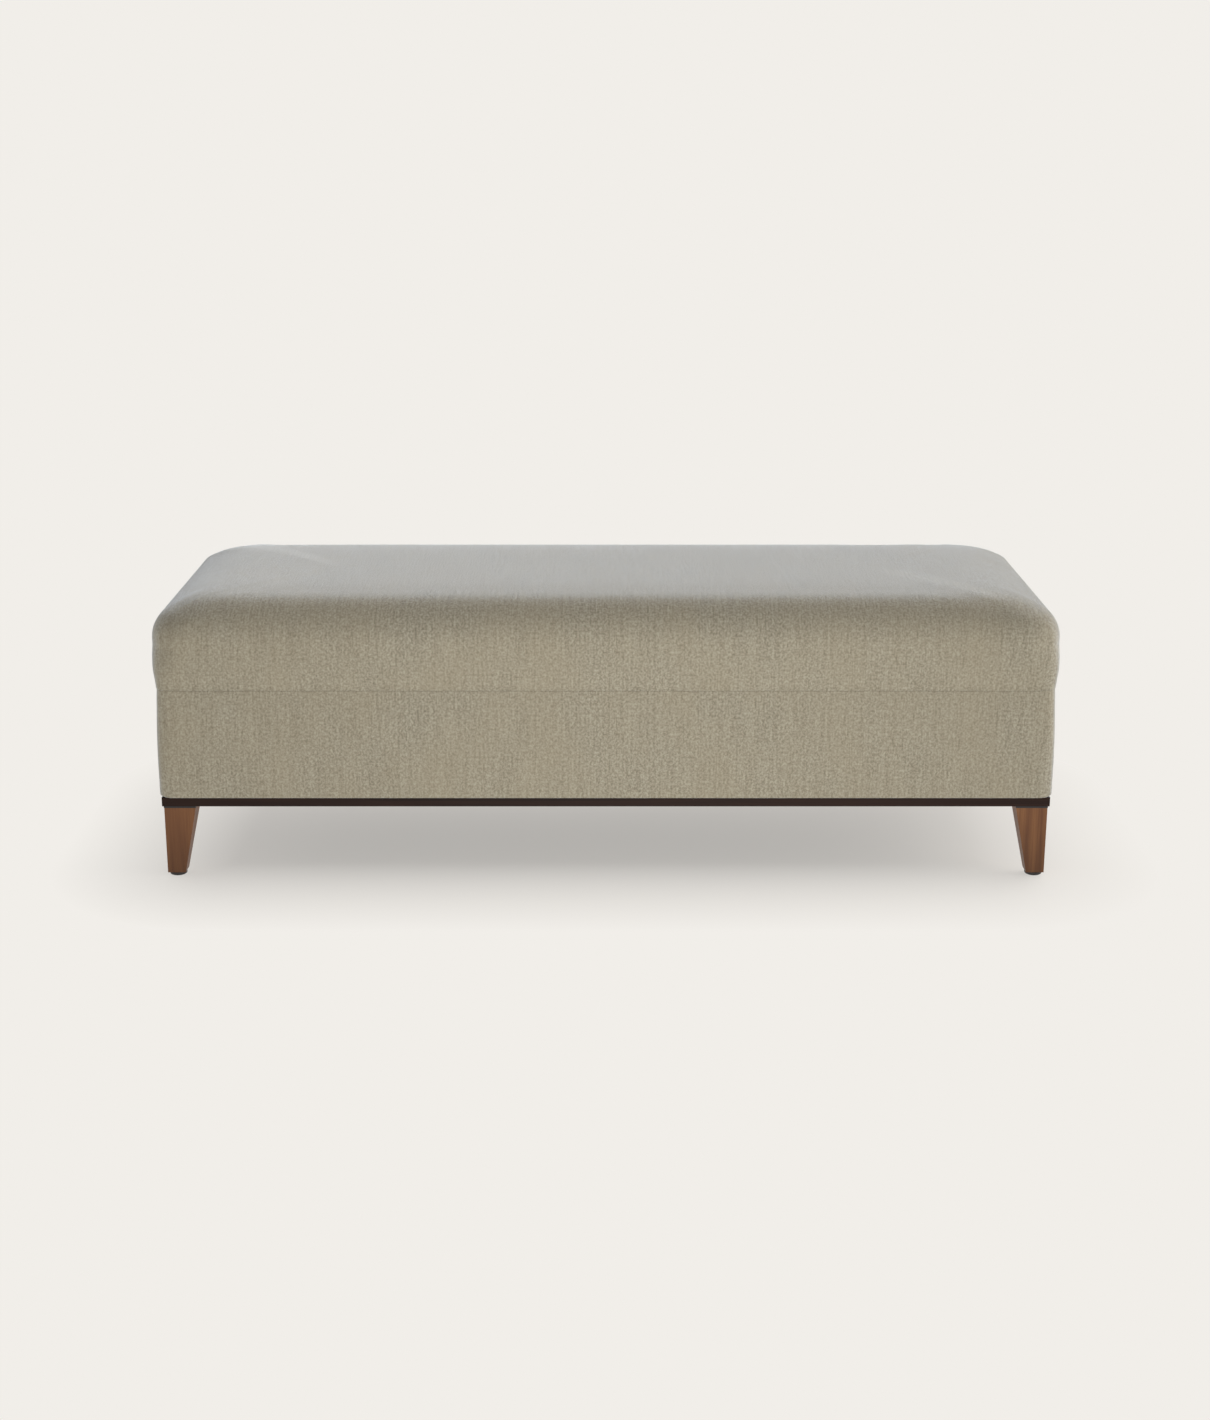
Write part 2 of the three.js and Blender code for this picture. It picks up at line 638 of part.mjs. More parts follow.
// Pressure tube with a foot eye, standing on its pivot with the bore open at the top.
function strutCylinder() {
  const eye = crossBar(EYE_RADIUS, -EYE_WIDTH / 2, EYE_WIDTH / 2);
  const neck = post(NECK_RADIUS, 0, CYLINDER_START + CYLINDER_CHAMFER);
  const tube = turned([
    [0, CYLINDER_START],
    [CYLINDER_RADIUS - CYLINDER_CHAMFER, CYLINDER_START],
    [CYLINDER_RADIUS, CYLINDER_START + CYLINDER_CHAMFER],
    [CYLINDER_RADIUS, CYLINDER_LENGTH - CYLINDER_CHAMFER],
    [CYLINDER_RADIUS - CYLINDER_CHAMFER, CYLINDER_LENGTH],
    [0, CYLINDER_LENGTH],
  ]);
  const bore = post(CYLINDER_BORE, BORE_START, CYLINDER_LENGTH + OVERRUN, 0, 0, SMALL_ROUND);
  const pivotHole = crossBar(STUD_RADIUS + GAP, -EYE_WIDTH, EYE_WIDTH, 0, 0, SMALL_ROUND);
  return cut(joined(eye, neck, tube), bore, pivotHole);
}

// Rod that starts inside the tube and ends in the head eye at the strut's full length.
function strutRod() {
  const rod = post(ROD_RADIUS, ROD_START, STRUT_LENGTH, 0, 0, SMALL_ROUND);
  const eye = crossBar(EYE_RADIUS, -EYE_WIDTH / 2, EYE_WIDTH / 2, 0, STRUT_LENGTH);
  return joined(rod, eye);
}

// Foot bracket on the end wall: a plate with the stud that carries the foot eye.
function footBracket(side) {
  const wall = side * (INNER_X - 2 * GAP - LINING - STRUT_X);
  const plateFace = wall - side * BRACKET;
  const plate = wallPlate(plateFace, wall, FOOT_PLATE);
  const studEnd = -side * (EYE_WIDTH / 2 + OVERRUN);
  const stud = crossBar(STUD_RADIUS, plateFace, studEnd, 0, 0, SMALL_ROUND);
  return joined(plate, stud);
}

// Head bracket on the lid frame: its boss stops just beside the head eye.
function headBracket(side) {
  const wall = side * (RAIL_X - LID_RAIL - GAP - STRUT_X);
  const plateFace = wall - side * BRACKET;
  const bossFace = side * (EYE_WIDTH / 2 + BOSS_CLEARANCE);
  const plate = wallPlate(plateFace, wall, HEAD_PLATE);
  const boss = crossBar(BOSS_RADIUS, wall, bossFace);
  return joined(plate, boss);
}

function wallPlate(xa, xb, { halfWidth, halfHeight }) {
  return box(Math.min(xa, xb), Math.max(xa, xb), -halfWidth, halfWidth, -halfHeight, halfHeight);
}

function addStruts() {
  for (const [hand, side] of SIDES) {
    const strut = new THREE.Group();
    strut.position.set(side * STRUT_X, FOOT_Y, FOOT_Z);
    strut.rotation.x = -STRUT_LEAN;
    ottoman.add(strut);
    place(`strut_cylinder_${hand}`, strutCylinder(), BLACK_STEEL, 0, 0, 0, strut);
    place(`strut_rod_${hand}`, strutRod(), STEEL, 0, 0, 0, strut);
    place(`strut_foot_bracket_${hand}`, footBracket(side), STEEL, side * STRUT_X, FOOT_Y, FOOT_Z);
    place(`strut_head_bracket_${hand}`, headBracket(side), STEEL, side * STRUT_X, HEAD_Y, HEAD_Z);
  }
}

addPlinth();
addLegs();
addCarcass();
addBasePads();
addBaseCover();
addStorageLining();
addDustCover();
addBumpers();
addLidFrame();
addLidPads();
addLidFoam();
addLidCover();
addLidLining();
addHinge();
addStruts();

export default ottoman;
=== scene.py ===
"""Storage ottoman: fabric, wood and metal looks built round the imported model."""
import json
import math

import bmesh
import bpy
import numpy as np
from mathutils import Matrix, Vector, kdtree


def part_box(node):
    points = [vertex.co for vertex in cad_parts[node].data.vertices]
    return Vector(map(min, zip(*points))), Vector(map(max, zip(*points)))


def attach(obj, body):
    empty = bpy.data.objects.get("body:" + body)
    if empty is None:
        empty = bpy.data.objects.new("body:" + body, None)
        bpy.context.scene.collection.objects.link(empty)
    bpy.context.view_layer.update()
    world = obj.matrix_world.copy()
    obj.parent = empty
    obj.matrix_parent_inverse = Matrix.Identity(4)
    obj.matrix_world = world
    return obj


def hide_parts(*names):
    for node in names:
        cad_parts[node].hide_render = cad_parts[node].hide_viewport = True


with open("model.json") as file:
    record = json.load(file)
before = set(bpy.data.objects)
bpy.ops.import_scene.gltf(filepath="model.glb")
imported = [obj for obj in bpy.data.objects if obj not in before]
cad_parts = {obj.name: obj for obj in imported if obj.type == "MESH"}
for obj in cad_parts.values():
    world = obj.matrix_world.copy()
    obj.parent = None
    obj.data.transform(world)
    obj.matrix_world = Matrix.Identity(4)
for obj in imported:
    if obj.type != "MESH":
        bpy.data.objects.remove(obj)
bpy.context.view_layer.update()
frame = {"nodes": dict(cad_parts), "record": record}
MM = 0.001
SCENE = bpy.context.scene

# ---------- sizes, all from the frame ----------

LID_LOW, LID_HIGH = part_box("lid_cover")
BASE_LOW, BASE_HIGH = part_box("base_cover")
HALF_W = LID_HIGH.x
HALF_D = LID_HIGH.y
TOP = LID_HIGH.z
RIM = BASE_HIGH.z
LID_BOTTOM = LID_LOW.z
RAIL_LOW, RAIL_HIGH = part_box("lid_rail_front")
RAIL_THICK = RAIL_HIGH.y - RAIL_LOW.y
LINING_LOW, LINING_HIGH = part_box("storage_lining")

# Rounded plan of the ottoman: points round one loop
CORNER_POINTS = 28
LONG_POINTS = 96
SHORT_POINTS = 32

# Lid: insets from its widest line, corner radii and the curve of its shoulder
LID_SIDE_INSET = 7.8 * MM
LID_WIDEST = LID_BOTTOM + 62.7 * MM
SHOULDER = LID_BOTTOM + 72.7 * MM
SHOULDER_POWER = 6.3
SHOULDER_ROOT = 2.15
LID_RADIUS_LOW = 26 * MM
LID_RADIUS_WIDE = 65 * MM
LID_RADIUS_TOP = 50 * MM

# Box: insets at its foot, middle and rim
BASE_INSET_FOOT = 5 * MM
BASE_INSET_MIDDLE = 4.8 * MM
BASE_INSET_RIM = 8.7 * MM
BASE_RADIUS = 26 * MM

FOLD_RADIUS = 3 * MM  # inner corners of the turned-in cloth
TURN_IN = 18 * MM  # cloth turned in under the lid and into the box
LID_TURN = HALF_W - RAIL_HIGH.x + RAIL_THICK + 1.2 * MM  # insets of the two turned-in strips
RIM_TURN = HALF_W - LINING_HIGH.x + 1.9 * MM


# ---------- mesh helpers ----------

def new_object(name, verts, faces, smooth=True):
    mesh = bpy.data.meshes.new(name)
    mesh.from_pydata([tuple(v) for v in verts], [], faces)
    mesh.validate()
    mesh.update()
    if smooth:
        mesh.shade_smooth()
    obj = bpy.data.objects.new(name, mesh)
    SCENE.collection.objects.link(obj)
    return obj


def rounded_loop(inset, radius):
    """Points round the plan at that inset, starting at the front right corner, anticlockwise."""
    half_w = HALF_W - inset
    half_d = max(HALF_D - inset, 0.0)
    radius = max(min(radius, half_d - 0.02 * MM), 0.0)
    points = []
    straights = (SHORT_POINTS, LONG_POINTS, SHORT_POINTS, LONG_POINTS)
    for quarter, (sx, sy) in enumerate(((1, -1), (1, 1), (-1, 1), (-1, -1))):
        cx = sx * (half_w - radius)
        cy = sy * (half_d - radius)
        start = (quarter - 1) * math.pi / 2
        for i in range(CORNER_POINTS + 1):
            angle = start + i / CORNER_POINTS * math.pi / 2
            points.append((cx + radius * math.cos(angle), cy + radius * math.sin(angle)))
        nx, ny = ((1, 1), (-1, 1), (-1, -1), (1, -1))[quarter]
        end = quarter * math.pi / 2
        x1 = nx * (half_w - radius) + radius * math.cos(end)
        y1 = ny * (half_d - radius) + radius * math.sin(end)
        x0, y0 = points[-1]
        count = straights[quarter]
        for i in range(1, count):
            points.append((x0 + (x1 - x0) * i / count, y0 + (y1 - y0) * i / count))
    return points


def loft(levels):
    """Vertices and quads through loops, each level (inset, z, radius)."""
    loops = [rounded_loop(inset, radius) for inset, _, radius in levels]
    count = len(loops[0])
    verts = [(x, y, z) for loop, (_, z, _) in zip(loops, levels) for x, y in loop]
    faces = []
    for i in range(len(levels) - 1):
        for j in range(count):
            k = (j + 1) % count
            faces.append((i * count + j, i * count + k, (i + 1) * count + k, (i + 1) * count + j))
    return verts, faces


def cleaned(obj, distance=0.05 * MM):
    """Merges points that coincide and drops faces that have shrunk to nothing."""
    bm = bmesh.new()
    bm.from_mesh(obj.data)
    bmesh.ops.remove_doubles(bm, verts=bm.verts, dist=distance)
    bmesh.ops.dissolve_degenerate(bm, edges=bm.edges, dist=distance)
    bmesh.ops.recalc_face_normals(bm, faces=bm.faces)
    bm.to_mesh(obj.data)
    bm.free()
    obj.data.shade_smooth()


def lathe(profile, segments, closed=False):
    """Surface turned round z. The profile is radius and height, and a radius of 0 closes an end."""
    verts, rings, faces = [], [], []
    for radius, z in profile:
        if radius == 0:
            rings.append([len(verts)] * segments)
            verts.append((0.0, 0.0, z))
            continue
        rings.append(list(range(len(verts), len(verts) + segments)))
        for i in range(segments):
            angle = 2 * math.pi * i / segments
            verts.append((radius * math.cos(angle), radius * math.sin(angle), z))
    pairs = list(zip(rings, rings[1:]))
    if closed:
        pairs.append((rings[-1], rings[0]))
    for low, high in pairs:
        for i in range(segments):
            j = (i + 1) % segments
            faces.append(tuple(dict.fromkeys((low[i], low[j], high[j], high[i]))))
    return verts, faces


def standing(place, normal, along=(1, 0, 0)):
    """Matrix that puts a thing at place, with its z along the normal and its x along along."""
    z = Vector(normal).normalized()
    x = Vector(along).normalized()
    y = z.cross(x)
    turn = Matrix((x, y, z)).transposed().to_4x4()
    return Matrix.Translation(Vector(place)) @ turn


CREASE = math.radians(35)  # edges of a small part that are sharper than this shade as edges
SMALL_PART_WELD = 0.002 * MM


class Shape:
    """Several small bodies gathered into one piece."""

    def __init__(self):
        self.verts = []
        self.faces = []

    def add(self, body, place=Matrix.Identity(4)):
        verts, faces = body
        start = len(self.verts)
        self.verts += [place @ Vector(v) for v in verts]
        self.faces += [tuple(start + i for i in face) for face in faces]

    def piece(self, name, body, slot):
        obj = new_object(name, self.verts, self.faces)
        cleaned(obj, SMALL_PART_WELD)
        obj.data.set_sharp_from_angle(angle=CREASE)
        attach(obj, body)
        return obj


def in_mm(profile):
    """A profile drawn in millimetres, in metres."""
    return [(radius * MM, z * MM) for radius, z in profile]


def eased(value, low, high):
    """0 below low, 1 above high, smooth between."""
    t = np.clip((value - low) / (high - low), 0, 1)
    return t * t * (3 - 2 * t)


def over_hinge(points):
    """From 0 to 1 towards the back edge, where a rolled edge has to lie flat for the hinge."""
    return eased(points[:, 1], HALF_D - 45 * MM, HALF_D - 31 * MM)


# ---------- cloth simulation ----------

CLOTH_VOXEL = 11 * MM
CLOTH_FRAMES = 20
CLOTH_PRESSURE = 4.0
CLOTH_CAP = 6 * MM  # the most that a point may move
SWELL_TOP = 25 * MM  # depth below the highest point that counts as the top
SWELL_SIDE = 30 * MM  # depth behind a side face that counts as that side
SWELL_KEPT = 0.32  # share of the swelling that shows
NEIGHBOURS = 8  # simulated points that move one point of the finished mesh


def simulated_shift(name, verts, faces, pinned):
    """Runs a padded cover as cloth under pressure. Returns rest points and how far each moved."""
    proxy = new_object(name, verts, faces)
    cleaned(proxy)
    bpy.context.view_layer.objects.active = proxy
    proxy.select_set(True)
    remesh = proxy.modifiers.new("remesh", "REMESH")
    remesh.mode = "VOXEL"
    remesh.voxel_size = CLOTH_VOXEL
    bpy.ops.object.modifier_apply(modifier=remesh.name)
    rest = np.array([v.co[:] for v in proxy.data.vertices])
    group = proxy.vertex_groups.new(name="pinned")
    group.add([i for i, p in enumerate(rest) if pinned(p)], 1.0, "REPLACE")
    cloth = proxy.modifiers.new("cloth", "CLOTH")
    cloth.settings.quality = 6
    cloth.settings.mass = 0.3
    cloth.settings.tension_stiffness = 25
    cloth.settings.compression_stiffness = 25
    cloth.settings.shear_stiffness = 12
    cloth.settings.bending_stiffness = 1.5
    cloth.settings.air_damping = 4
    cloth.settings.use_pressure = True
    cloth.settings.uniform_pressure_force = CLOTH_PRESSURE
    cloth.settings.vertex_group_mass = group.name
    cloth.settings.effector_weights.gravity = 0
    cloth.collision_settings.use_collision = False
    for step in range(1, CLOTH_FRAMES + 1):
        SCENE.frame_set(step)
    shaped = proxy.evaluated_get(bpy.context.evaluated_depsgraph_get())
    moved = np.array([v.co[:] for v in shaped.data.vertices]) - rest
    SCENE.frame_set(1)
    mesh = proxy.data
    bpy.data.objects.remove(proxy)
    bpy.data.meshes.remove(mesh)
    length = np.linalg.norm(moved, axis=1, keepdims=True)
    moved *= np.minimum(1, CLOTH_CAP / np.maximum(length, 1e-9))
    return rest, moved


def swelling(name, levels, pinned):
    """How a padded cover over these levels swells under pressure, without its average growth.

    The outline stays the size that it has, and only the unevenness of the stuffing is left."""
    verts, faces = loft(levels)
    count = len(verts) // len(levels)
    last = len(verts) - count
    faces.append(tuple(range(count - 1, -1, -1)))
    faces.append(tuple(range(last, last + count)))
    rest, moved = simulated_shift(name, verts, faces, pinned)
    top = rest[:, 2] > rest[:, 2].max() - SWELL_TOP
    free = np.array([not pinned(p) for p in rest])
    even = moved.copy()
    even[top & free] -= moved[top & free].mean(axis=0)
    for axis, half in ((0, HALF_W), (1, HALF_D)):
        for sign in (1, -1):
            side = (rest[:, axis] * sign > half - SWELL_SIDE) & ~top & free
            if side.any():
                even[side] -= moved[side].mean(axis=0)
    return rest, even * SWELL_KEPT


def add_shift(points, rest, moved, weight):
    """Carries the simulated movement over to nearby points, times each point's weight."""
    tree = kdtree.KDTree(len(rest))
    for i, p in enumerate(rest):
        tree.insert(p, i)
    tree.balance()
    for i, p in enumerate(points):
        if weight[i] <= 0:
            continue
        near = tree.find_n(p, NEIGHBOURS)
        share = np.array([1 / (d + CLOTH_VOXEL / 2) ** 2 for _, _, d in near])
        shift = sum(s * moved[j] for s, (_, j, _) in zip(share, near)) / share.sum()
        points[i] += weight[i] * shift
    return points


# ---------- lid ----------

def lid_wall_levels(low, steps):
    """Side of the lid from its lower edge up to the shoulder."""
    levels = []
    for i in range(steps + 1):
        part = i / steps
        inset = LID_SIDE_INSET * (1 - math.sin(part * math.pi / 2))
        radius = LID_RADIUS_LOW + (LID_RADIUS_WIDE - LID_RADIUS_LOW) * part
        levels.append((inset, low + (LID_WIDEST - low) * part, radius))
    levels.append((0.0, (LID_WIDEST + SHOULDER) / 2, LID_RADIUS_WIDE))
    return levels


def lid_top_levels(steps):
    """From the shoulder over the rounded edge to the middle of the top."""
    levels = []
    for i in range(steps + 1):
        part = (i / steps) ** 2.2
        rise = (1 - (1 - part) ** SHOULDER_POWER) ** (1 / SHOULDER_ROOT)
        radius = LID_RADIUS_WIDE + (LID_RADIUS_TOP - LID_RADIUS_WIDE) * min(part / 0.35, 1)
        levels.append((HALF_D * part, SHOULDER + (TOP - SHOULDER) * rise, radius))
    return levels


def lid_levels():
    """Whole section of the lid's cloth: turned-in strip, underside, lower roll, side and top."""
    turn = LID_TURN
    under = LID_BOTTOM + 0.1 * MM
    edge = LID_SIDE_INSET
    fold = [
        (turn - 1.1 * MM, LID_BOTTOM + TURN_IN + 0.3 * MM, FOLD_RADIUS),
        (turn, LID_BOTTOM + TURN_IN, FOLD_RADIUS),
        (turn, LID_BOTTOM + TURN_IN / 2, FOLD_RADIUS),
        (turn, under + 1.6 * MM, FOLD_RADIUS),
        (turn - 0.5 * MM, under + 0.5 * MM, FOLD_RADIUS),
        (turn - 1.6 * MM, under, FOLD_RADIUS),
        (turn - 9 * MM, under, 9 * MM),
        (edge + 9 * MM, under, LID_RADIUS_LOW - 9 * MM),
    ]
    roll = [
        (edge + 5.0 * MM, under - 1.0 * MM, LID_RADIUS_LOW - 5 * MM),
        (edge + 3.0 * MM, under - 2.2 * MM, LID_RADIUS_LOW - 3 * MM),
        (edge + 1.6 * MM, under - 2.8 * MM, LID_RADIUS_LOW - 2 * MM),
        (edge + 0.7 * MM, under - 2.85 * MM, LID_RADIUS_LOW - 1 * MM),
        (edge + 0.15 * MM, under - 2.55 * MM, LID_RADIUS_LOW),
        (edge + 0.02 * MM, under - 1.5 * MM, LID_RADIUS_LOW),
    ]
    return fold + roll + lid_wall_levels(LID_BOTTOM + 1 * MM, 14) + lid_top_levels(36)


ROLL_UNEVEN = 0.1  # share of its height that a rolled edge loses in places


def uneven(points):
    """From 0 to 1, how much a hand-pulled rolled edge gives way along its length."""
    a, _, c = points.T
    reach = a * 95 + c * 70
    return 0.5 + 0.25 * (np.sin(reach) + np.sin(reach * 2.7 + 1.1))


FRONT_FULLNESS = 4.3 * MM
FULLNESS_CREST = 35 * MM  # how far behind the front face it is highest


def fuller_front(points):
    """From 0 to 1, where the foam stands fuller just behind the front edge of the top."""
    x, y, z = points.T
    behind = HALF_D + y
    crest = eased(behind, 7 * MM, FULLNESS_CREST) * (1 - eased(behind, FULLNESS_CREST, 112 * MM))
    between_ends = eased(HALF_W - abs(x), 50 * MM, 190 * MM)
    return crest * between_ends * (z > SHOULDER + 10 * MM)


def make_lid():
    levels = lid_levels()
    verts, faces = loft(levels)
    points = np.array(verts)
    # the lower roll closes the joint at the front and ends; over the hinge the edge stays up
    hang = np.minimum(points[:, 2] - LID_BOTTOM, 0)
    points[:, 2] -= hang * np.maximum(over_hinge(points), ROLL_UNEVEN * uneven(points))
    points[:, 2] += FRONT_FULLNESS * fuller_front(points)
    rest_points = points.copy()
    solid = lid_wall_levels(LID_BOTTOM, 6) + lid_top_levels(16)
    moved = swelling("lid_proxy", solid, lambda p: p[2] < LID_BOTTOM + 12 * MM)
    weight = eased(points[:, 2], LID_BOTTOM + 6 * MM, LID_BOTTOM + 30 * MM)
    points = add_shift(points, *moved, weight)
    lid = new_object("lid_upholstery", points, faces)
    cloth_map(lid, levels, rest_points)
    cleaned(lid)
    pads = ["lid_pad_" + side for side in ("front", "back", "left", "right")]
    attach(lid, "lid")
    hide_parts("lid_cover", "lid_foam", *pads)
    return lid


# ---------- box cover ----------

def base_wall_levels(low, high, steps):
    """Side of the box, a parabola through its insets at the foot, the middle and the rim."""
    levels = []
    for i in range(steps + 1):
        k = i / steps
        inset = (
            BASE_INSET_FOOT * (1 - k) * (1 - 2 * k)
            + BASE_INSET_MIDDLE * 4 * k * (1 - k)
            + BASE_INSET_RIM * k * (2 * k - 1)
        )
        levels.append((inset, low + (high - low) * k, BASE_RADIUS))
    return levels


def base_levels():
    """Whole section of the box's cloth: hem, side, upper roll, rim and turned-down strip."""
    low = BASE_LOW.z
    edge = BASE_INSET_RIM
    inner = RIM_TURN
    hem = [
        (14 * MM, low + 0.5 * MM, BASE_RADIUS - 9 * MM),
        (8.0 * MM, low - 0.2 * MM, BASE_RADIUS - 3 * MM),
        (6.2 * MM, low - 0.1 * MM, BASE_RADIUS - 1 * MM),
        (5.2 * MM, low + 0.8 * MM, BASE_RADIUS),
    ]
    roll = [
        (edge + 0.02 * MM, RIM + 0.8 * MM, BASE_RADIUS),
        (edge + 0.25 * MM, RIM + 1.65 * MM, BASE_RADIUS),
        (edge + 0.9 * MM, RIM + 1.95 * MM, BASE_RADIUS - 1 * MM),
        (edge + 1.8 * MM, RIM + 1.9 * MM, BASE_RADIUS - 2 * MM),
        (edge + 3.2 * MM, RIM + 1.3 * MM, BASE_RADIUS - 3 * MM),
        (edge + 5.5 * MM, RIM + 0.4 * MM, BASE_RADIUS - 5 * MM),
        (edge + 9.0 * MM, RIM, BASE_RADIUS - 9 * MM),
    ]
    rim = [
        (inner - 2.5 * MM, RIM, 2 * FOLD_RADIUS),
        (inner - 0.8 * MM, RIM - 0.5 * MM, FOLD_RADIUS),
        (inner, RIM - 1.8 * MM, FOLD_RADIUS),
        (inner, RIM - TURN_IN / 2, FOLD_RADIUS),
        (inner, RIM - TURN_IN, FOLD_RADIUS),
        (inner - 1.6 * MM, RIM - TURN_IN - 0.1 * MM, FOLD_RADIUS),
    ]
    return hem + base_wall_levels(low + 2.5 * MM, RIM - 1.4 * MM, 18) + roll + rim


def make_base():
    levels = base_levels()
    verts, faces = loft(levels)
    points = np.array(verts)
    # at the back the rim stays flat under the hinge leaf
    proud = np.maximum(points[:, 2] - RIM, 0)
    points[:, 2] -= proud * np.maximum(over_hinge(points), ROLL_UNEVEN * uneven(points[:, ::-1]))
    rest_points = points.copy()
    low = BASE_LOW.z
    solid = base_wall_levels(low, RIM, 8)
    moved = swelling("base_proxy", solid, lambda p: p[2] < low + 8 * MM or p[2] > RIM - 8 * MM)
    weight = eased(points[:, 2], low + 3 * MM, low + 24 * MM)
    weight *= 1 - eased(points[:, 2], RIM - 24 * MM, RIM - 6 * MM)
    points = add_shift(points, *moved, weight)
    base = new_object("base_upholstery", points, faces)
    cloth_map(base, levels, rest_points)
    cleaned(base)
    pads = ["base_pad_" + side for side in ("front", "back", "left", "right")]
    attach(base, "base")
    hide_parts("base_cover", *pads)
    return base


# ---------- linings ----------

def sheet_of(name, verts, faces, body, thick):
    """A cloth one face thick, given its thickness by a modifier."""
    obj = new_object(name, verts, faces)
    cleaned(obj)
    solid = obj.modifiers.new("cloth thickness", "SOLIDIFY")
    solid.thickness = thick
    solid.offset = 0
    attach(obj, body)
    return obj


def ripple(x, y, z=0.0):
    """Slow uneven wave from -1 to 1 over a stretched cloth."""
    long = np.sin(23 * x + 9 * z + 0.7)
    slanted = 0.7 * np.sin(41 * x - 31 * y)
    short = 0.8 * np.sin(37 * y + 11 * z + 2.1)
    return (long + slanted + short) / 2.5


LINING_THICK = 1.2 * MM
LINING_HEM = 14 * MM
LINING_BEND = 9 * MM  # radius along the foot of the walls
LINING_CORNER = 6 * MM
LINING_SLACK = 1.6 * MM  # the most that its floor rises
WALL_SLACK = 1.8 * MM  # the most that its walls stand off
WALL_STEPS = 14
BEND_STEPS = 5
FLOOR_STEPS = 24


def tray_levels(inset, top, floor):
    """Section of the lining: hem behind the wall, fold at the top, wall, bend and floor."""
    corner = LINING_CORNER
    bend = LINING_BEND
    fold = top - 2.2 * MM
    low = floor + bend
    levels = [
        (inset + 1.9 * MM, top - LINING_HEM, corner),
        (inset + 1.9 * MM, fold, corner),
        (inset + 1.6 * MM, top - 1.1 * MM, corner),
        (inset + 0.95 * MM, top - 0.7 * MM, corner),
        (inset + 0.3 * MM, top - 1.1 * MM, corner),
        (inset, fold, corner),
    ]
    for i in range(1, WALL_STEPS + 1):
        levels.append((inset, fold - (fold - low) * i / WALL_STEPS, corner))
    for i in range(1, BEND_STEPS + 1):
        part = i / BEND_STEPS
        angle = part * math.pi / 2
        inwards = inset + bend * (1 - math.cos(angle))
        levels.append((inwards, low - bend * math.sin(angle), corner + bend * part))
    across = HALF_D - inset - bend
    for i in range(1, FLOOR_STEPS + 1):
        levels.append((inset + bend + across * i / FLOOR_STEPS, floor, corner))
    return levels


def make_tray_lining():
    """Cloth lining of the storage space, stretched over its walls and floor."""
    inset = HALF_W - LINING_HIGH.x + 0.7 * MM
    top = LINING_HIGH.z
    floor = LINING_LOW.z + 0.75 * MM
    low = floor + LINING_BEND
    verts, faces = loft(tray_levels(inset, top, floor))
    points = np.array(verts)
    x, y, z = points.T
    wave = 0.5 + 0.5 * ripple(x, y, z)
    on_floor = eased(np.minimum(HALF_W - inset - abs(x), HALF_D - inset - abs(y)), 2 * MM, 60 * MM)
    points[:, 2] += LINING_SLACK * wave * on_floor * (z < low)
    on_wall = eased(z, low, low + 40 * MM) * (1 - eased(z, top - 24 * MM, top - 15 * MM))
    end = HALF_W - inset - abs(x) < 3 * MM
    points[:, 0] -= np.sign(x) * WALL_SLACK * wave * on_wall * end
    points[:, 1] -= np.sign(y) * WALL_SLACK * wave * on_wall * ~end
    lining = sheet_of("tray_lining", points, faces, "base", LINING_THICK)
    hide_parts("storage_lining")
    return lining


HEM_STEP = 2 * MM  # width of the step at the inner edge of a folded hem
PANEL_STEPS = (120, 42)  # along and across a flat panel, inside its hem


def panel_lines(half, hem, steps):
    """Grid lines from edge to edge of a panel, close together at its hem."""
    edge = [-half, -half + hem, -half + hem + HEM_STEP]
    inside = list(np.linspace(edge[-1], -edge[-1], steps + 1)[1:-1])
    return np.array(edge + inside + [-v for v in reversed(edge)])


def flat_cloth(name, node, body, thick, hem, sag):
    """A panel of cloth stapled up under a board, its edge folded in by hem."""
    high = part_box(node)[1]
    xs = panel_lines(high.x, hem, PANEL_STEPS[0])
    ys = panel_lines(high.y, hem, PANEL_STEPS[1])
    x, y = np.meshgrid(xs, ys, indexing="ij")
    edge = np.minimum(high.x - abs(x), high.y - abs(y))
    folded = 1 - eased(edge, hem, hem + HEM_STEP)
    loose = eased(edge, hem, hem + 90 * MM)
    drop = folded * thick * 0.9 + loose * sag * (0.6 + 0.4 * ripple(x, y))
    z = high.z - 0.6 * thick - drop
    verts = np.stack([x, y, z], axis=-1).reshape(-1, 3)
    n = len(ys)
    faces = [
        (i * n + j, (i + 1) * n + j, (i + 1) * n + j + 1, i * n + j + 1)
        for i in range(len(xs) - 1) for j in range(n - 1)]
    obj = sheet_of(name, verts, faces, body, thick)
    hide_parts(node)
    return obj


def make_linings():
    tray = make_tray_lining()
    panel = flat_cloth(
        "lid_lining_panel", "lid_lining", "lid",
        thick=0.6 * MM, hem=12 * MM, sag=0.8 * MM)
    dust_cloth = flat_cloth(
        "dust_cloth_sheet", "dust_cover", "base",
        thick=0.4 * MM, hem=10 * MM, sag=1.6 * MM)
    return {"lining": [tray, panel], "dust_cloth": [dust_cloth]}


# ---------- staples and screws ----------

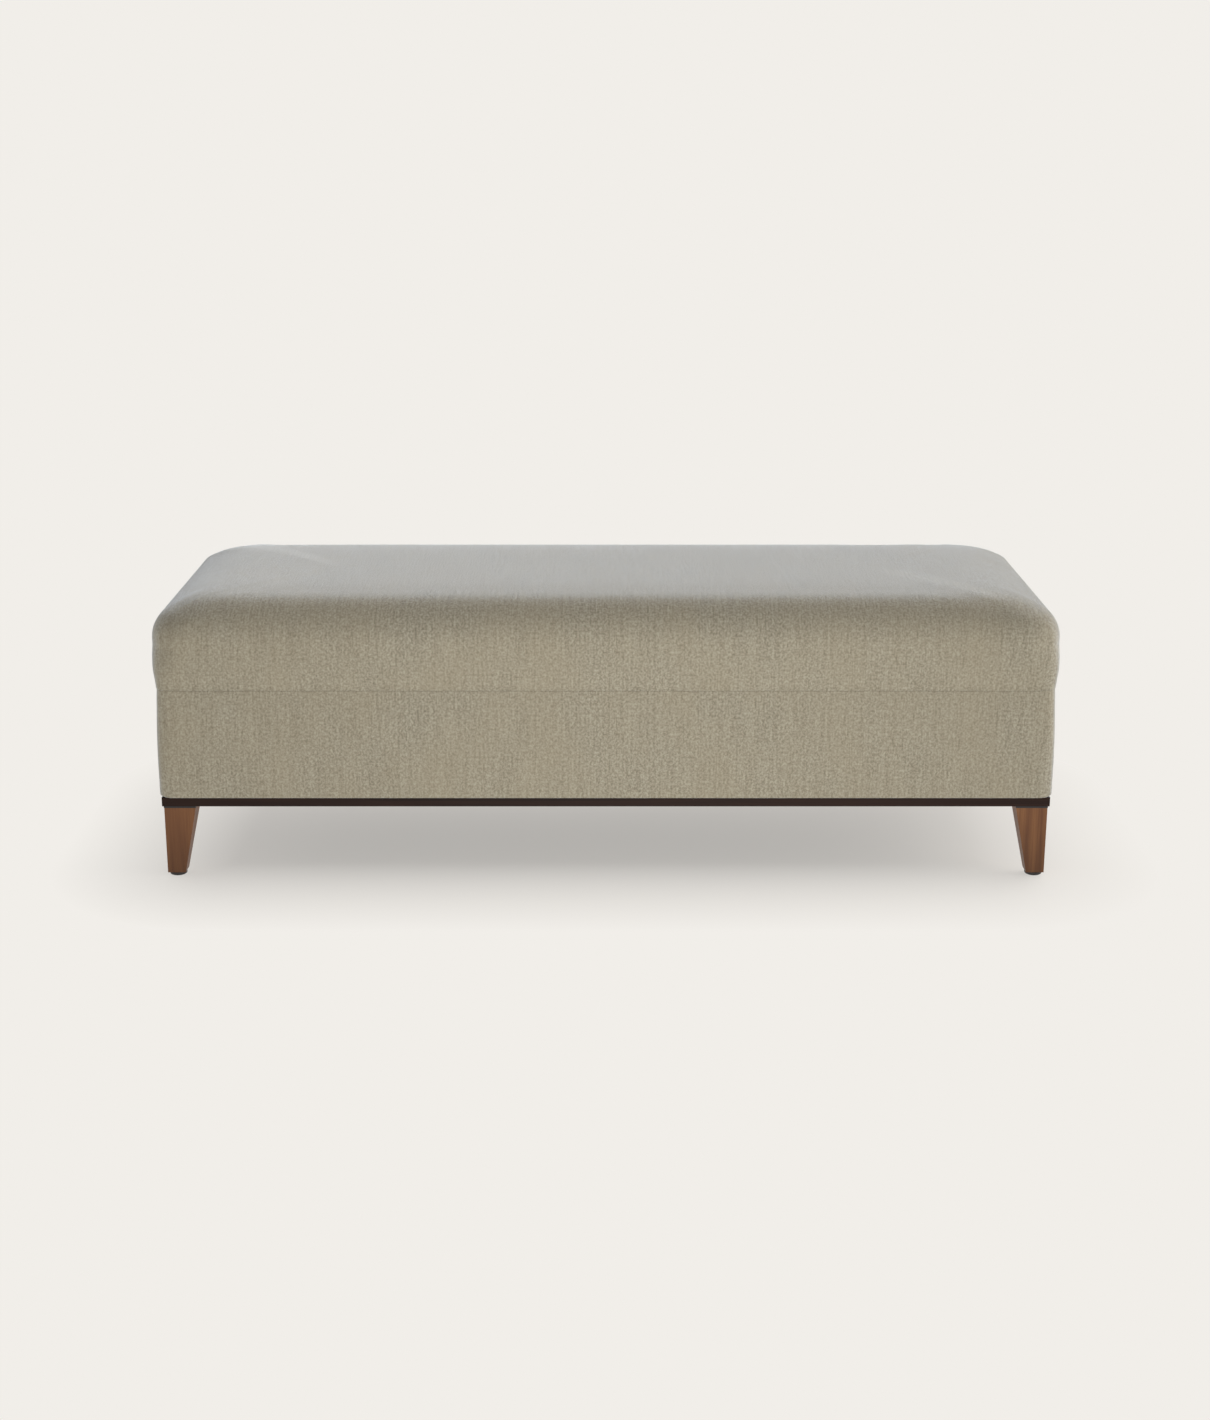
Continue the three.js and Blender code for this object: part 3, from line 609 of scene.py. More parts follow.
def staple():
    """Crown and the tops of the legs of a flat wire staple, its crown proud of z = 0."""
    outer = ((-5, -0.5), (-5, 0.35), (-4.7, 0.6), (4.7, 0.6), (5, 0.35), (5, -0.5))
    inner = ((-4.4, -0.5), (-4.4, -0.1), (-4.2, 0.05), (4.2, 0.05), (4.4, -0.1), (4.4, -0.5))
    half = 0.6
    verts = []
    for (ox, oz), (ix, iz) in zip(outer, inner):
        verts += [(ox, -half, oz), (ox, half, oz), (ix, half, iz), (ix, -half, iz)]
    last = 4 * (len(outer) - 1)
    faces = [(3, 2, 1, 0), (last, last + 1, last + 2, last + 3)]
    for i in range(0, last, 4):
        for k in range(4):
            m = (k + 1) % 4
            faces.append((i + k, i + m, i + 4 + m, i + 4 + k))
    return [tuple(c * MM for c in v) for v in verts], faces


def screw_head(radius, height):
    """Low domed head with a cross recess."""
    rings = (
        (1, -0.2), (1, 0.15), (0.93, 0.45), (0.76, 0.8), (0.56, 1), (0.4, 1), (0.24, 1), (0.12, 1),
        (0, 1))
    verts, faces = lathe([(radius * r, height * h) for r, h in rings], 32)
    slot = 0.12 * radius
    cut = []
    for x, y, z in verts:
        inside = math.hypot(x, y) < 0.5 * radius
        crossed = min(abs(x), abs(y)) < slot
        cut.append((x, y, z - 0.65 * height if inside and crossed else z))
    return cut, faces


def evenly(low, high, pitch):
    """Numbers from low to high, about pitch apart."""
    count = max(round((high - low) / pitch), 1)
    return [low + (high - low) * i / count for i in range(count + 1)]


def round_a_rectangle(a, b, pitch, clear):
    """Points on the four sides, each with the direction along its side and the one pointing out."""
    for x in evenly(-a + clear, a - clear, pitch):
        for side in (-1, 1):
            yield (x, side * b), (1, 0, 0), (0, side, 0)
    for y in evenly(-b + clear, b - clear, pitch):
        for side in (-1, 1):
            yield (side * a, y), (0, 1, 0), (side, 0, 0)


def inward_staples(name, body, inset, z):
    """Staples through the turned cloth strip on an inner face."""
    shape = Shape()
    for (x, y), along, out in round_a_rectangle(HALF_W - inset, HALF_D - inset, 42 * MM, 30 * MM):
        shape.add(staple(), standing((x, y, z), -Vector(out), along))
    return shape.piece(name, body, "fixings")


def downward_staples(name, body, node, drop, inset):
    """Staples through the edge of a flat cloth, seen from below."""
    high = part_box(node)[1]
    shape = Shape()
    for (x, y), along, _ in round_a_rectangle(high.x - inset, high.y - inset, 48 * MM, 20 * MM):
        shape.add(staple(), standing((x, y, high.z - drop), (0, 0, -1), along))
    return shape.piece(name, body, "fixings")


HINGE_LEAF = 1 * MM
HINGE_SCREW_PITCH = 60 * MM
HINGE_SCREW_MARGIN = 15 * MM  # from the ends of the hinge
HINGE_SCREW_LINE = 8.5 * MM  # from the front edge of a leaf


def hinge_screws(name, body, node, up):
    """One row of screws along a leaf of the hinge, on its upper or its lower face."""
    low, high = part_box(node)
    z = low.z + HINGE_LEAF if up else high.z - HINGE_LEAF
    shape = Shape()
    for x in evenly(low.x + HINGE_SCREW_MARGIN, high.x - HINGE_SCREW_MARGIN, HINGE_SCREW_PITCH):
        place = (x, low.y + HINGE_SCREW_LINE, z)
        shape.add(screw_head(2.9 * MM, 0.55 * MM), standing(place, (0, 0, 1 if up else -1)))
    return shape.piece(name, body, "fixings")


BRACKET_PLATE = 2.5 * MM


def bracket_screws(name, body, kind, half_y, half_z):
    """Four screws in the plate of each strut bracket."""
    shape = Shape()
    for hand, side in (("left", -1), ("right", 1)):
        low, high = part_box("strut_" + kind + "_bracket_" + hand)
        face = side * (max(abs(low.x), abs(high.x)) - BRACKET_PLATE)
        middle = (low + high) / 2
        for dy in (-half_y, half_y):
            for dz in (-half_z, half_z):
                place = (face, middle.y + dy, middle.z + dz)
                shape.add(screw_head(3.4 * MM, 1.7 * MM), standing(place, (-side, 0, 0), (0, 1, 0)))
    return shape.piece(name, body, "fixings")


def make_fixings():
    return [
        inward_staples("lid_strip_staples", "lid", LID_TURN, LID_BOTTOM + 11 * MM),
        inward_staples("rim_strip_staples", "base", RIM_TURN, RIM - 11 * MM),
        downward_staples("lid_lining_staples", "lid", "lid_lining", 1.2 * MM, 6 * MM),
        downward_staples("dust_cloth_staples", "base", "dust_cover", 0.85 * MM, 5 * MM),
        hinge_screws("hinge_screws_box", "base", "hinge_base_leaf", True),
        hinge_screws("hinge_screws_lid", "lid", "hinge_lid_leaf", False),
        bracket_screws("strut_foot_screws", "base", "foot", 8.5 * MM, 16 * MM),
        bracket_screws("strut_head_screws", "lid", "head", 18 * MM, 7 * MM),
    ]


# ---------- turned parts ----------

# Profiles of the turned parts: radius and height in millimetres
GLIDE = (
    (0, 0), (10.6, 0), (12.0, 0.25), (13.1, 0.9), (13.8, 1.9), (14.1, 3.2), (14.1, 5.6),
    (13.8, 6.0), (1.5, 6.0), (1.5, 19), (1.0, 21), (0, 22))
BUMPER = (
    (0, 4.0), (2.0, 3.98), (3.6, 3.8), (5.0, 3.35), (6.1, 2.6), (6.8, 1.6), (7.0, 0.7), (6.9, 0.1),
    (6.7, 0), (0, 0))


def turned_at_corners(profile, segments, piece_name, node_name, slot):
    """The same turned part in the place of a CAD node at each corner of the ottoman."""
    made = []
    for corner in ("front_left", "front_right", "back_left", "back_right"):
        low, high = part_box(node_name + corner)
        middle = (low + high) / 2
        shape = Shape()
        shape.add(lathe(in_mm(profile), segments), Matrix.Translation((middle.x, middle.y, low.z)))
        part = shape.piece(piece_name + corner, "base", slot)
        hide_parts(node_name + corner)
        made.append(part)
    return made


def make_glides():
    """Nail-on glides under the legs."""
    return turned_at_corners(GLIDE, 48, "leg_glide_", "glide_", "glide_nylon")


def make_bumpers():
    """Soft domed stops on the rim."""
    return turned_at_corners(BUMPER, 40, "rim_bumper_", "bumper_", "bumper_rubber")


EYE = (
    (3.8, -3.6), (4.2, -4.0), (6.6, -4.0), (7.0, -3.6), (7.0, 3.6), (6.6, 4.0), (4.2, 4.0),
    (3.8, 3.6))
TUBE = (
    (0, 10), (4.5, 10), (4.5, 12), (6.4, 12), (7.4, 12.5), (8.0, 13.6), (8.0, 138), (7.5, 139.2),
    (7.5, 140.6), (8.0, 141.8), (8.0, 144.6), (7.4, 145.7), (6.2, 146), (4.3, 146), (4.1, 145.4),
    (4.1, 130), (0, 130))
TUBE_NECK = ((0, 5), (4.5, 5), (4.5, 11), (0, 11))  # joins the tube to its eye
ROD_RADIUS = 3.6
ROD_START = 60  # from the foot pin, inside the tube
ROD_NECK = (5.6, 10, 6.2)  # radius, and its two ends back from the head pin


def make_struts():
    """Gas struts: black tube with a rolled end, polished rod, and an eye at each end."""
    tubes, rods = [], []
    eye = lathe(in_mm(EYE), 36, closed=True)
    sideways = Matrix.Rotation(math.pi / 2, 4, "Y")
    neck, neck_low, neck_high = ROD_NECK
    for hand in ("left", "right"):
        low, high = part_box("strut_cylinder_" + hand)
        foot = sum(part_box("strut_foot_bracket_" + hand), Vector()) / 2
        head = sum(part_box("strut_head_bracket_" + hand), Vector()) / 2
        foot.x = head.x = (low.x + high.x) / 2
        line = head - foot
        along = standing(foot, line)
        tube = Shape()
        tube.add(lathe(in_mm(TUBE), 48), along)
        tube.add(lathe(in_mm(TUBE_NECK), 32), along)
        tube.add(eye, along @ sideways)
        piece = tube.piece("strut_tube_" + hand, hand + "_strut_tube", "black_steel")
        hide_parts("strut_cylinder_" + hand)
        tubes.append(piece)
        reach = line.length / MM
        profile = (
            (0, ROD_START), (ROD_RADIUS - 0.4, ROD_START), (ROD_RADIUS, ROD_START + 0.6),
            (ROD_RADIUS, reach - neck_low), (neck, reach - neck_low), (neck, reach - neck_high),
            (0, reach - neck_high))
        rod = Shape()
        rod.add(lathe(in_mm(profile), 36), along)
        rod.add(eye, along @ Matrix.Translation((0, 0, line.length)) @ sideways)
        piece = rod.piece("strut_piston_" + hand, hand + "_strut_rod", "strut_rod")
        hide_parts("strut_rod_" + hand)
        rods.append(piece)
    return tubes, rods


def bevel(node, width, segments):
    """Eases the edges of a CAD part as sanding or pressing does."""
    soft = node.modifiers.new("eased edges", "BEVEL")
    soft.width = width
    soft.segments = segments
    soft.limit_method = "ANGLE"
    soft.angle_limit = math.radians(40)
    soft.use_clamp_overlap = True


# Start of a node's name, width of its eased edges and their steps
EASED_EDGES = (
    ("leg_front", 1.2 * MM, 3), ("leg_back", 1.2 * MM, 3), ("leg_plate", 0.4 * MM, 1),
    ("plinth", 0.9 * MM, 2), ("front_panel", 0.5 * MM, 1), ("back_panel", 0.5 * MM, 1),
    ("left_panel", 0.5 * MM, 1), ("right_panel", 0.5 * MM, 1), ("lid_rail", 0.6 * MM, 1),
    ("strut_foot_bracket", 0.4 * MM, 2), ("strut_head_bracket", 0.4 * MM, 2))


def ease_edges():
    for name, node in frame["nodes"].items():
        for start, width, segments in EASED_EDGES:
            if name.startswith(start):
                bevel(node, width, segments)


# ---------- how the cloth lies ----------

STEEP = 0.75  # a face whose normal rises less than this belongs to a side


def cloth_map(obj, levels, rest):
    """Gives the piece the cloth's own coordinates in metres: u across the threads, v along them.

    The cloth runs up the front, over the top and down the back; each end has its own piece."""
    section = [0.0]
    for (inset0, z0, _), (inset1, z1, _) in zip(levels, levels[1:]):
        section.append(section[-1] + math.hypot(inset1 - inset0, z1 - z0))
    middle = section[-1]
    mesh = obj.data
    per_level = len(rest) // len(levels)
    uv = np.empty((len(mesh.loops), 2))
    for poly in mesh.polygons:
        x, y, _ = poly.center
        nearer_end = HALF_W - abs(x) < HALF_D - abs(y)
        steep = abs(poly.normal.z) < STEEP
        for loop in poly.loop_indices:
            vertex = mesh.loops[loop].vertex_index
            px, py, _ = rest[vertex]
            along = section[vertex // per_level]
            if nearer_end and steep:
                uv[loop] = (math.copysign(2 * HALF_W, x) + py, along)
            elif nearer_end:
                uv[loop] = (px, middle + py)
            else:
                uv[loop] = (px, along if y < 0 else 2 * middle - along)
    mesh.uv_layers.new(name="cloth").data.foreach_set("uv", uv.ravel())


# ---------- materials ----------

class Nodes:
    """A material's node tree, built by short calls."""

    def __init__(self, name):
        self.material = bpy.data.materials.new(name)
        self.material.use_nodes = True
        self.tree = self.material.node_tree
        self.tree.nodes.clear()
        self.shader = self.add("ShaderNodeBsdfPrincipled")
        output = self.add("ShaderNodeOutputMaterial")
        self.link(self.shader.outputs["BSDF"], output.inputs["Surface"])

    def add(self, kind, **settings):
        node = self.tree.nodes.new(kind)
        for key, value in settings.items():
            setattr(node, key, value)
        return node

    def link(self, source, target):
        self.tree.links.new(source, target)

    def put(self, value, target):
        if hasattr(value, "is_output"):
            self.link(value, target)
        else:
            target.default_value = value

    def math(self, operation, a, b=0.0):
        node = self.add("ShaderNodeMath", operation=operation)
        self.put(a, node.inputs[0])
        self.put(b, node.inputs[1])
        return node.outputs[0]

    def total(self, *values):
        """Their sum."""
        result = values[0]
        for value in values[1:]:
            result = self.math("ADD", result, value)
        return result

    def vector(self, operation, a, b=None, out="Vector"):
        node = self.add("ShaderNodeVectorMath", operation=operation)
        self.put(a, node.inputs[0])
        if b is not None:
            self.put(b, node.inputs[1])
        return node.outputs[out]

    def mix(self, factor, a, b, blend="MIX"):
        node = self.add("ShaderNodeMix", data_type="RGBA", blend_type=blend)
        self.put(factor, node.inputs["Factor"])
        self.put(a, node.inputs["A"])
        self.put(b, node.inputs["B"])
        return node.outputs["Result"]

    def grey(self, value):
        node = self.add("ShaderNodeCombineColor")
        for socket in node.inputs:
            self.link(value, socket)
        return node.outputs["Color"]

    def object_place(self, scale=(1, 1, 1)):
        coords = self.add("ShaderNodeTexCoord")
        return self.scaled(coords.outputs["Object"], scale)

    def cloth_place(self, scale=(1, 1, 1)):
        coords = self.add("ShaderNodeUVMap", uv_map="cloth")
        return self.scaled(coords.outputs["UV"], scale)

    def scaled(self, source, scale):
        mapping = self.add("ShaderNodeMapping")
        mapping.inputs["Scale"].default_value = scale
        self.link(source, mapping.inputs["Vector"])
        return mapping.outputs["Vector"]

    def noise(self, place, scale, detail=2.0, rough=0.5, warp=0.0):
        node = self.add("ShaderNodeTexNoise")
        self.link(place, node.inputs["Vector"])
        node.inputs["Scale"].default_value = scale
        node.inputs["Detail"].default_value = detail
        node.inputs["Roughness"].default_value = rough
        node.inputs["Distortion"].default_value = warp
        return node.outputs["Fac"]

    def spread(self, value, low, high, to_low=0.0, to_high=1.0):
        node = self.add("ShaderNodeMapRange")
        self.link(value, node.inputs["Value"])
        ends = {"From Min": low, "From Max": high, "To Min": to_low, "To Max": to_high}
        for name, number in ends.items():
            node.inputs[name].default_value = number
        return node.outputs["Result"]

    def bump(self, height, distance, strength):
        node = self.add("ShaderNodeBump")
        node.inputs["Strength"].default_value = strength
        node.inputs["Distance"].default_value = distance
        self.link(height, node.inputs["Height"])
        self.link(node.outputs["Normal"], self.shader.inputs["Normal"])

    def set(self, **values):
        for key, value in values.items():
            self.put(value, self.shader.inputs[key.replace("_", " ")])
        return self.material


def srgb(r, g, b):
    """Linear colour of an 8-bit display colour."""
    def one(v):
        v /= 255
        return v / 12.92 if v <= 0.04045 else ((v + 0.055) / 1.055) ** 2.4
    return (one(r), one(g), one(b), 1.0)


def scaled_colour(colour, share, lift=0.0):
    """The colour times share, plus lift."""
    return tuple(c * share + lift for c in colour[:3]) + (1.0,)


def stretched(along, share):
    """Scale that draws a pattern out along one axis."""
    return tuple(share if axis == along else 1.0 for axis in "XYZ")


THREAD = 1.7 * MM
YARN_DARK = srgb(114, 106, 89)
YARN_LIGHT = srgb(190, 184, 166)
YARN_CLOUD = srgb(163, 152, 129)
BLOOM = (0.82, 0.9, 1.0, 1.0)  # cool tint of the sheen


def upholstery_material():
    """Matt greige cloth: plain weave, slubs along the threads and a soft cool bloom."""
    n = Nodes("greige_weave")
    place = n.cloth_place()
    split = n.add("ShaderNodeSeparateXYZ")
    n.link(place, split.inputs[0])
    turn = 2 * math.pi / THREAD
    across = n.math("SINE", n.math("MULTIPLY", split.outputs["X"], turn))
    along = n.math("SINE", n.math("MULTIPLY", split.outputs["Y"], turn))
    weave = n.math("MULTIPLY", across, along)
    slub = n.noise(n.cloth_place((1, 0.4, 1)), 250, 2, 0.5)
    streak = n.noise(n.cloth_place((1, 0.04, 1)), 280, 1, 0.5)
    speckle = n.noise(n.cloth_place((1, 0.85, 1)), 310, 1, 0.5)
    fibre = n.noise(n.cloth_place((1, 0.6, 1)), 900, 2, 0.6)
    cloud = n.noise(n.cloth_place((1, 0.5, 1)), 9, 3, 0.5)
    # the last number of each is its share of the tone
    tone = n.total(
        n.spread(slub, 0.34, 0.66, 0, 0.2), n.spread(streak, 0.38, 0.62, 0, 0.14),
        n.spread(speckle, 0.36, 0.64, 0, 0.36), n.spread(fibre, 0.36, 0.64, 0, 0.3))
    colour = n.mix(tone, YARN_DARK, YARN_LIGHT)
    colour = n.mix(n.spread(cloud, 0.35, 0.65, 0, 0.3), colour, YARN_CLOUD)
    height = n.total(
        n.math("MULTIPLY", weave, 0.25), n.math("MULTIPLY", slub, 1.2),
        n.math("MULTIPLY", speckle, 0.7), n.math("MULTIPLY", streak, 0.78))
    n.bump(height, 0.6 * MM, 0.7)
    return n.set(
        Base_Color=colour, Roughness=0.92, Specular_IOR_Level=0.25, Sheen_Weight=1.0,
        Sheen_Roughness=0.3, Sheen_Tint=BLOOM)


def plain_cloth(name, dark, light, thread):
    """Fine plain cloth seen on any face, from object coordinates."""
    n = Nodes(name)
    place = n.object_place()
    fine = n.noise(place, 1 / thread, 2, 0.6)
    broad = n.noise(place, 14, 3, 0.5)
    colour = n.mix(n.spread(fine, 0.35, 0.65), dark, light)
    colour = n.mix(n.spread(broad, 0.3, 0.7, 0, 0.25), colour, dark)
    n.bump(fine, 0.3 * MM, 0.6)
    return n.set(
        Base_Color=colour, Roughness=0.95, Specular_IOR_Level=0.2, Sheen_Weight=0.2,
        Sheen_Roughness=0.5)


GRAIN_STRETCH = 0.05
PORE_STRETCH = GRAIN_STRETCH * GRAIN_STRETCH
LEG_PAINTED_SHADE = (0.88, 1.34)  # painted shade on a leg: its colour darkened at the floor and lightened towards its head


def wood_material(name, dark, light, along, roughness, gloss=0.3, grain=90, head=None):
    """Wood with a straight grain along one axis. A leg gives the height of its head, and its colour
    gets painted shade, darker at the floor and lighter towards the head.
    """
    n = Nodes(name)
    stretch = stretched(along, GRAIN_STRETCH)
    figure = n.noise(n.object_place(stretch), grain, 4, 0.6, 0.6)
    pores = n.noise(n.object_place(stretched(along, PORE_STRETCH)), grain * 9, 2, 0.6)
    broad = n.noise(n.object_place(stretch), grain * 0.25, 2, 0.5)
    tone = n.total(n.spread(figure, 0.3, 0.7, 0, 0.6), n.spread(broad, 0.3, 0.7, 0, 0.4))
    colour = n.mix(tone, dark, light)
    colour = n.mix(n.spread(pores, 0.56, 0.7, 0, 0.5), colour, scaled_colour(dark, 0.45))
    # painted shade: a leg's colour is darkened near the floor and lightened towards its head
    if head:
        height = n.add("ShaderNodeSeparateXYZ")
        n.link(n.object_place(), height.inputs[0])
        shade = n.spread(height.outputs["Z"], 0, head, *LEG_PAINTED_SHADE)
        colour = n.mix(1.0, colour, n.grey(shade), "MULTIPLY")
    n.bump(pores, 0.12 * MM, 0.35)
    return n.set(
        Base_Color=colour, Roughness=n.spread(figure, 0.3, 0.7, roughness - 0.06, roughness + 0.08),
        Specular_IOR_Level=gloss)


def metal_material(name, colour, roughness, along="X", metallic=1.0):
    """Drawn or brushed metal with fine lines along one axis."""
    n = Nodes(name)
    lines = n.noise(n.object_place(stretched(along, 0.03)), 1500, 2, 0.6)
    smudge = n.noise(n.object_place(), 30, 3, 0.5)
    worn = n.spread(smudge, 0.3, 0.7, roughness - 0.04, roughness + 0.1)
    rough = n.total(worn, n.spread(lines, 0.3, 0.7, -0.03, 0.05))
    shade = n.mix(n.spread(smudge, 0.3, 0.7, 0, 0.3), colour, scaled_colour(colour, 0.8))
    n.bump(lines, 0.02 * MM, 0.3)
    return n.set(Base_Color=shade, Metallic=metallic, Roughness=rough)


def moulded_material(name, colour, roughness):
    """Nylon or rubber with a fine moulded grain."""
    n = Nodes(name)
    grain = n.noise(n.object_place(), 1800, 2, 0.5)
    scuff = n.noise(n.object_place(), 120, 3, 0.6)
    shade = n.mix(n.spread(scuff, 0.5, 0.75, 0, 0.3), colour, scaled_colour(colour, 1.8, 0.01))
    n.bump(grain, 0.05 * MM, 0.4)
    worn = n.spread(scuff, 0.3, 0.7, roughness - 0.08, roughness + 0.08)
    return n.set(Base_Color=shade, Roughness=worn)


def make_materials():
    """One material for each slot, and a second one for a slot with boards from front to back."""
    walnut = (srgb(80, 47, 28), srgb(124, 84, 51))
    birch = (srgb(186, 156, 112), srgb(222, 198, 156))
    espresso = (srgb(26, 14, 10), srgb(50, 32, 25))
    return {
        "upholstery": upholstery_material(),
        "wadding": plain_cloth("white_wadding", srgb(214, 210, 200), srgb(238, 236, 229), 2.5 * MM),
        "foam": plain_cloth("cream_foam", srgb(214, 198, 150), srgb(236, 224, 180), 1.5 * MM),
        "lining": plain_cloth("lining_cloth", srgb(84, 78, 72), srgb(118, 111, 102), 1.1 * MM),
        "dust_cloth": plain_cloth("black_cloth", srgb(24, 24, 25), srgb(48, 47, 47), 1.4 * MM),
        "plywood": wood_material("birch_plywood", *birch, "X", 0.65, grain=60),
        "plywood_side": wood_material("birch_plywood_side", *birch, "Y", 0.65, grain=60),
        # the walnut legs carry painted shade, darker at the floor and lighter at the head
        "leg_wood": wood_material("walnut_upright", *walnut, "Z", 0.45, head=0.115),
        "plinth_wood": wood_material("espresso_wood", *espresso, "X", 0.5, 0.15),
        "plinth_wood_side": wood_material("espresso_wood_side", *espresso, "Y", 0.5, 0.15),
        "hinge_steel": metal_material("hinge_steel", srgb(168, 169, 170), 0.46),
        "fixings": metal_material("zinc_plate", srgb(170, 170, 168), 0.42, "Z"),
        # satin black paint on the strut tubes; the same black on the leg plates is painted shade, a
        # dark plate standing where plinth and leg meet in shadow
        "black_steel": metal_material("black_paint_and_painted_shade", srgb(26, 26, 27), 0.36, "Z", 0.0),
        "strut_rod": metal_material("chrome_rod", srgb(214, 215, 216), 0.12, "Z"),
        "glide_nylon": moulded_material("dark_nylon", srgb(34, 30, 28), 0.5),
        "bumper_rubber": moulded_material("soft_rubber", srgb(44, 43, 42), 0.75),
    }


def paint(obj, material):
    obj.data.materials.clear()
    obj.data.materials.append(material)


# ---------- floor, light and camera ----------

BACKDROP = srgb(241, 238, 233)
BLACK = (0.0, 0.0, 0.0, 1.0)
FLOOR_REACH = 60.0
FLOOR_GLOW = 0.42  # near the ottoman the floor glows in part and is lit in part
FLOOR_DIFFUSE = 0.55
FLOOR_SHADED = (0.61, 0.2)  # half sizes of the patch under the ottoman that takes its shadow
FLOOR_FADE = 0.3  # the floor turns into the even backdrop over this distance beyond it


def make_floor():
    """Pale floor that catches soft shadow round the ottoman and runs out into the backdrop."""
    r = FLOOR_REACH
    corners = [(-r, -r, 0), (r, -r, 0), (r, r, 0), (-r, r, 0)]
    floor = new_object("floor", corners, [(0, 1, 2, 3)], smooth=False)
    n = Nodes("pale_floor")
    place = n.vector("ABSOLUTE", n.object_place())
    beyond = n.vector("MAXIMUM", n.vector("SUBTRACT", place, (*FLOOR_SHADED, 0)), (0, 0, 0))
    far = n.spread(n.vector("LENGTH", beyond, out="Value"), 0, FLOOR_FADE)
    near = scaled_colour(BACKDROP, FLOOR_DIFFUSE)
    n.set(
        Base_Color=n.mix(far, near, BLACK), Roughness=1.0, Specular_IOR_Level=0.0,
        Emission_Color=BACKDROP, Emission_Strength=n.spread(far, 0, 1, FLOOR_GLOW, 1))
    paint(floor, n.material)


FRONT_LIGHT = (0.36, 0.36, 0.35, 1.0)
BACK_LEFT_LIGHT = (1.35, 1.34, 1.38, 1.0)
BACK_RIGHT_LIGHT = (4.4, 4.27, 4.16, 1.0)
TOP_LIGHT = (0.24, 0.24, 0.24, 1.0)
# Where one light passes into the next, as parts of a direction of length 1
LEFT_TO_RIGHT = (-0.25, 0.4)
BACK_TO_FRONT = (0.1, -0.6)
SIDES_TO_TOP = (0.42, 0.8)


def make_world():
    """Even backdrop for the camera. As light it is bright low behind, dim in front and above."""
    world = bpy.data.worlds.new("studio")
    SCENE.world = world
    world.use_nodes = True
    tree = world.node_tree
    tree.nodes.clear()
    link = tree.links.new

    def node(kind, **settings):
        made = tree.nodes.new(kind)
        for key, value in settings.items():
            setattr(made, key, value)
        return made

    def ramp(source, low, high):
        made = node("ShaderNodeMapRange", interpolation_type="SMOOTHSTEP")
        link(source, made.inputs["Value"])
        made.inputs["From Min"].default_value = low
        made.inputs["From Max"].default_value = high
        return made.outputs["Result"]

    def blend(factor, first, second):
        made = node("ShaderNodeMix", data_type="RGBA")
        link(factor, made.inputs["Factor"])
        for socket, value in ((made.inputs["A"], first), (made.inputs["B"], second)):
            if hasattr(value, "is_output"):
                link(value, socket)
            else:
                socket.default_value = value
        return made.outputs["Result"]

    coords = node("ShaderNodeTexCoord")
    split = node("ShaderNodeSeparateXYZ")
    link(coords.outputs["Generated"], split.inputs[0])
    back = blend(ramp(split.outputs["X"], *LEFT_TO_RIGHT), BACK_LEFT_LIGHT, BACK_RIGHT_LIGHT)
    sides = blend(ramp(split.outputs["Y"], *BACK_TO_FRONT), back, FRONT_LIGHT)
    dome = blend(ramp(split.outputs["Z"], *SIDES_TO_TOP), sides, TOP_LIGHT)
    light = node("ShaderNodeBackground")
    link(dome, light.inputs["Color"])
    seen = node("ShaderNodeBackground")
    seen.inputs["Color"].default_value = BACKDROP
    path = node("ShaderNodeLightPath")
    choose = node("ShaderNodeMixShader")
    link(path.outputs["Is Camera Ray"], choose.inputs["Fac"])
    link(light.outputs[0], choose.inputs[1])
    link(seen.outputs[0], choose.inputs[2])
    output = node("ShaderNodeOutputWorld")
    link(choose.outputs[0], output.inputs["Surface"])


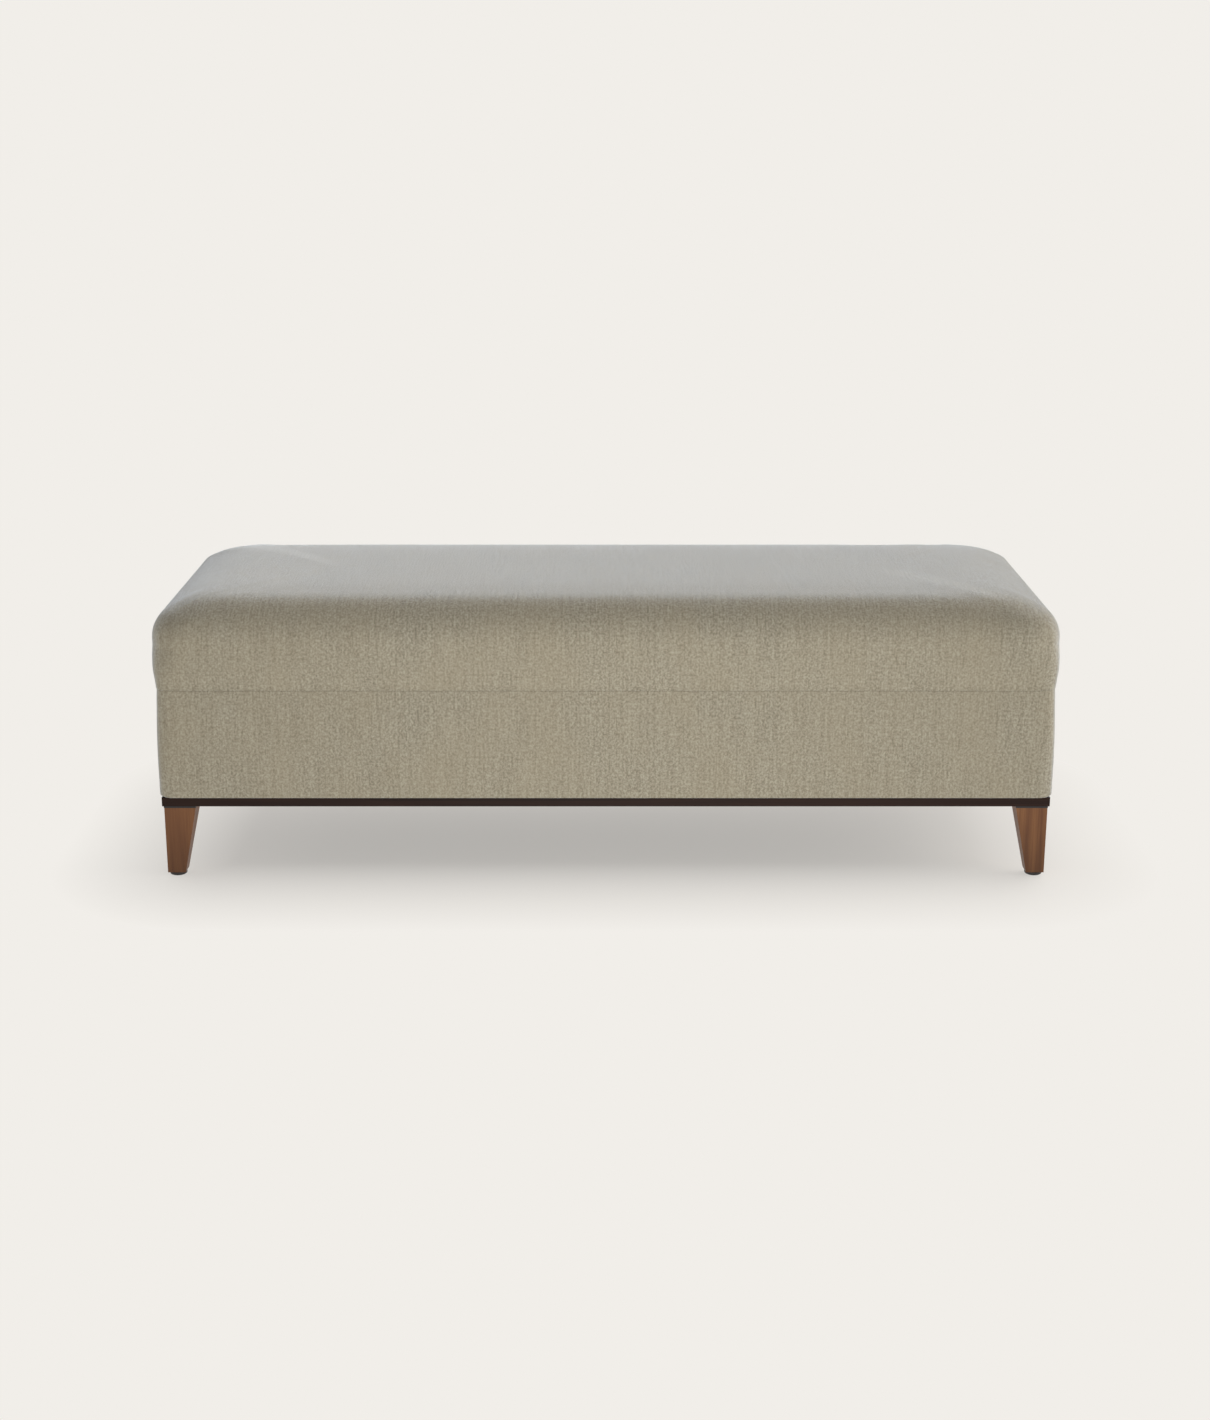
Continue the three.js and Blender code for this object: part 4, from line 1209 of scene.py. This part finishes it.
SOFTBOX_PLACE = (0.14, -1.6, 0.18)
SOFTBOX_AIM = (0.1, -HALF_D, 0.25)
SOFTBOX_SIZE = (1.1, 0.4)
SOFTBOX_POWER = 8.2
SOFTBOX_COLOUR = (1.0, 0.985, 0.96)


def make_softbox():
    """Low wide light in front, a little right of the middle."""
    data = bpy.data.lights.new("softbox", "AREA")
    data.shape = "RECTANGLE"
    data.size, data.size_y = SOFTBOX_SIZE
    data.energy = SOFTBOX_POWER
    data.color = SOFTBOX_COLOUR
    softbox = bpy.data.objects.new("softbox", data)
    SCENE.collection.objects.link(softbox)
    softbox.location = SOFTBOX_PLACE
    towards = Vector(SOFTBOX_AIM) - Vector(SOFTBOX_PLACE)
    softbox.rotation_euler = towards.to_track_quat("-Z", "Y").to_euler()


# The camera stands at the photograph's angle, in metres and millimetres of sensor and lens
CAMERA_ASIDE = -0.0014
CAMERA_AHEAD = 3.2461  # from the front face of the ottoman
CAMERA_HEIGHT = 1.2302
CAMERA_PITCH = math.radians(16.24)
SENSOR = 36.0
LENS = 54.13


def make_camera():
    data = bpy.data.cameras.new("camera")
    data.sensor_width = SENSOR
    data.lens = LENS
    camera = bpy.data.objects.new("camera", data)
    SCENE.collection.objects.link(camera)
    camera.location = (CAMERA_ASIDE, -HALF_D - CAMERA_AHEAD, CAMERA_HEIGHT)
    camera.rotation_euler = (math.pi / 2 - CAMERA_PITCH, 0, 0)
    SCENE.camera = camera


def paint_nodes(materials):
    """Gives each CAD node its slot's material, with the grain turned on the boards at the sides."""
    slots = {row["node"]: row["material_slot"] for row in frame["record"]["subparts"]}
    for name, node in frame["nodes"].items():
        side = slots[name] + "_side"
        at_side = side in materials and ("left" in name or "right" in name)
        paint(node, materials[side if at_side else slots[name]])


def main():
    SCENE.view_settings.view_transform = "Standard"
    make_camera()
    make_world()
    make_softbox()
    make_floor()
    materials = make_materials()
    paint_nodes(materials)
    ease_edges()
    tubes, rods = make_struts()
    made = {
        "upholstery": [make_lid(), make_base()], "fixings": make_fixings(),
        "glide_nylon": make_glides(), "bumper_rubber": make_bumpers(), "black_steel": tubes,
        "strut_rod": rods, **make_linings()}
    for slot, pieces in made.items():
        for piece in pieces:
            paint(piece, materials[slot])


main()
